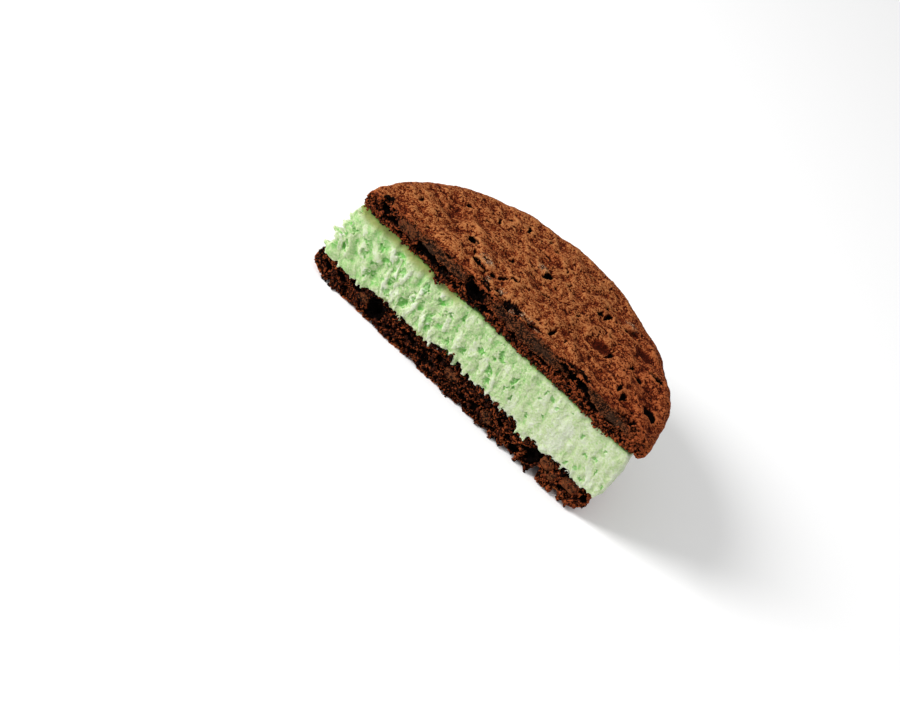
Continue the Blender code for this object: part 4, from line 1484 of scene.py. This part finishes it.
def chip_relief(graph, geometry):
    place = graph.place()
    rough = graph.noise(place, 0.7, 1.0) * 1.4 + graph.noise(place, 1.8, 2.0, 0.7) * 1.0
    return raised(graph, geometry, rough)


# ---------------------------------------------------------------- operators


class SANDWICH_OT_top_cookie(bpy.types.Operator):
    """Remake the upper cookie with its crust and crumb"""

    bl_idname = "sandwich.top_cookie"
    bl_label = "Upper Cookie"

    def execute(self, context):
        settings = context.scene.sandwich_cookie
        base = TOP_LOW.z / MM

        def hidden(centres, normals):
            inner = centres[:, 1] > 2.0
            return inner & (centres[:, 2] < base + 0.3) & (normals[:, 2] < -0.9)

        obj = filled(copy_of_node("top_cookie", "baked_top_cookie"), UPPER_CHUNKS)
        join(obj, hanging_clumps())
        fine_skin(obj, settings.grid, hidden, knifed_faces)
        run_geometry(obj, upper_relief)
        obj.data.materials.append(cookie_material("baked_cookie_top", settings, UPPER_LIFT))
        finish_piece(obj, ["top_cookie"])
        add_crumbs(obj, "crumbs_on_top_cookie", upper_crumbs, settings)
        add_chips(obj, context.scene.sandwich_chunk)
        return {"FINISHED"}


class SANDWICH_OT_bottom_cookie(bpy.types.Operator):
    """Remake the lower cookie, turned crust down"""

    bl_idname = "sandwich.bottom_cookie"
    bl_label = "Lower Cookie"

    def execute(self, context):
        settings = context.scene.sandwich_cookie
        top = BASE_HIGH.z / MM

        def hidden(centres, normals):
            inner = (centres[:, 1] > 2.5) & (np.hypot(centres[:, 0] + 2.9, centres[:, 1]) < 42.0)
            return inner & (centres[:, 2] > top - 0.6) & (normals[:, 2] > 0.9)

        obj = filled(copy_of_node("bottom_cookie", "baked_bottom_cookie"), LOWER_CHUNKS)
        join(obj, [add_clump(*clump, BASE_HIGH.z / MM) for clump in LOWER_CLUMPS])
        fine_skin(obj, settings.grid * 1.1, hidden, knifed_faces)
        run_geometry(obj, lower_relief)
        obj.data.materials.append(cookie_material("baked_cookie_bottom", settings, LOWER_LIFT))
        finish_piece(obj, ["bottom_cookie"])
        add_crumbs(obj, "crumbs_on_bottom_cookie", lower_crumbs, settings)
        return {"FINISHED"}


class SANDWICH_OT_ice_cream(bpy.types.Operator):
    """Remake the slab of ice cream with its torn relief and its fringe of teeth"""

    bl_idname = "sandwich.ice_cream"
    bl_label = "Ice Cream"

    def execute(self, context):
        settings = context.scene.sandwich_ice
        base, top = BASE_HIGH.z / MM, ICE_HIGH.z / MM

        def hidden(centres, normals):
            flat = np.abs(normals[:, 2]) > 0.9
            level = (centres[:, 2] > top - 0.35) | (centres[:, 2] < base + 0.75)
            return flat & (centres[:, 1] > 2.5) & level

        obj = join(copy_of_node("ice_cream", "torn_ice_cream"), ice_fringe())
        fine_skin(obj, settings.grid, hidden, knifed_faces)
        run_geometry(obj, ice_relief)
        obj.data.materials.append(ice_material("mint_ice_cream", settings))
        finish_piece(obj, ["ice_cream"])
        return {"FINISHED"}


class SANDWICH_OT_chunks(bpy.types.Operator):
    """Remake the cut chocolate chunks, smeared by the knife"""

    bl_idname = "sandwich.chunks"
    bl_label = "Chocolate Chunks"

    def execute(self, context):
        material = chocolate_material("dark_chocolate", context.scene.sandwich_chunk)
        for node in UPPER_CHUNKS + LOWER_CHUNKS:
            obj = resized(copy_of_node(node, node.replace("chocolate", "smeared")), (1.08, 1.0, 1.05))
            apply_modifier(obj, "REMESH", mode="VOXEL", voxel_size=0.2 * MM)
            run_geometry(obj, chunk_relief)
            obj.data.materials.append(material)
            finish_piece(obj, [node])
        return {"FINISHED"}


def chunk_relief(graph, geometry):
    place = graph.place()
    rough = graph.noise(place, 0.5, 1.0) * 1.2 + graph.noise(place, 1.6, 2.0, 0.6) * 0.35
    behind = graph.parts(place)[1].above(1.0, 2.5)
    return raised(graph, geometry, (rough + 0.1).towards(behind, -0.7))


class SANDWICH_OT_stage(bpy.types.Operator):
    """Set the floor, the lights and the camera"""

    bl_idname = "sandwich.stage"
    bl_label = "Studio"

    def execute(self, context):
        settings = context.scene.sandwich_stage
        add_floor(settings)
        right, up, back = camera_axes(settings)
        add_camera(settings, right, up, back)
        add_lights(settings, right, up, back)
        context.scene.view_settings.view_transform = "Standard"
        return {"FINISHED"}


def add_floor(settings):
    deselect_all()
    bpy.ops.mesh.primitive_plane_add(size=4.0)
    floor = bpy.context.active_object
    floor.name = "studio_floor"
    material, graph, shader = new_material("pale_floor")
    shader.inputs["Base Color"].default_value = colour(settings.floor_colour)
    shader.inputs["Roughness"].default_value = 0.9
    floor.data.materials.append(material)


def camera_axes(settings):
    """The camera's right, up and backward directions, rolled about its axis."""
    turn, rise, roll = settings.azimuth, settings.elevation, settings.roll
    back = Vector((math.sin(turn) * math.cos(rise), -math.cos(turn) * math.cos(rise), math.sin(rise)))
    level = Vector((math.cos(turn), math.sin(turn), 0.0))
    plumb = back.cross(level)
    right = math.cos(roll) * level + math.sin(roll) * plumb
    up = math.cos(roll) * plumb - math.sin(roll) * level
    return right, up, back


def add_camera(settings, right, up, back):
    data = bpy.data.cameras.new("photo_camera")
    data.lens = 100.3
    data.sensor_width = 36.0
    data.clip_start = 0.01
    camera = bpy.data.objects.new("photo_camera", data)
    bpy.context.scene.collection.objects.link(camera)
    middle = Vector((CUT_X, CUT_Y, 0.0))
    place = middle + back * settings.distance
    aim = middle + 0.74 * MM * right + 9.43 * MM * up
    look_back = (place - aim).normalized()
    look_right = up.cross(look_back).normalized()
    look_up = look_back.cross(look_right)
    turn = Matrix((look_right, look_up, look_back)).transposed()
    camera.matrix_world = Matrix.Translation(place) @ turn.to_4x4()
    bpy.context.scene.camera = camera


def add_area_light(name, direction, distance, size, power):
    data = bpy.data.lights.new(name, "AREA")
    data.shape = "DISK"
    data.size = size
    data.energy = power
    light = bpy.data.objects.new(name, data)
    bpy.context.scene.collection.objects.link(light)
    light.location = Vector((0.0, 0.0, 0.015)) + direction.normalized() * distance
    light.rotation_euler = direction.to_track_quat("Z", "Y").to_euler()


def add_lights(settings, right, up, back):
    key = -0.55 * right + 0.75 * up + 0.6 * back
    fill = 0.7 * right + 0.1 * up + 1.0 * back
    add_area_light("key_light", key, 0.8, 0.4, settings.key_power)
    add_area_light("fill_light", fill, 1.0, 0.8, settings.fill_power)
    world = bpy.data.worlds.new("white_sky")
    world.use_nodes = True
    background = world.node_tree.nodes["Background"]
    background.inputs["Color"].default_value = (1.0, 1.0, 1.0, 1.0)
    background.inputs["Strength"].default_value = settings.sky_strength
    bpy.context.scene.world = world


class SANDWICH_PT_panel(bpy.types.Panel):
    """Lists the sandwich's operators in the sidebar"""

    bl_idname = "SANDWICH_PT_panel"
    bl_label = "Ice Cream Sandwich"
    bl_space_type = "VIEW_3D"
    bl_region_type = "UI"
    bl_category = "Sandwich"

    def draw(self, context):
        for operator in OPERATORS:
            self.layout.operator(operator.bl_idname)


OPERATORS = (
    SANDWICH_OT_stage,
    SANDWICH_OT_top_cookie,
    SANDWICH_OT_bottom_cookie,
    SANDWICH_OT_ice_cream,
    SANDWICH_OT_chunks,
)
SETTINGS = {
    "sandwich_cookie": CookieSettings,
    "sandwich_ice": IceSettings,
    "sandwich_chunk": ChunkSettings,
    "sandwich_stage": StageSettings,
}


def register():
    for name, group in SETTINGS.items():
        bpy.utils.register_class(group)
        setattr(bpy.types.Scene, name, bpy.props.PointerProperty(type=group))
    for operator in OPERATORS:
        bpy.utils.register_class(operator)
    bpy.utils.register_class(SANDWICH_PT_panel)


def unregister():
    bpy.utils.unregister_class(SANDWICH_PT_panel)
    for operator in reversed(OPERATORS):
        bpy.utils.unregister_class(operator)
    for name, group in SETTINGS.items():
        delattr(bpy.types.Scene, name)
        bpy.utils.unregister_class(group)


def main():
    register()
    for operator in OPERATORS:
        group, name = operator.bl_idname.split(".")
        getattr(getattr(bpy.ops, group), name)()


if __name__ == "__main__":
    main()
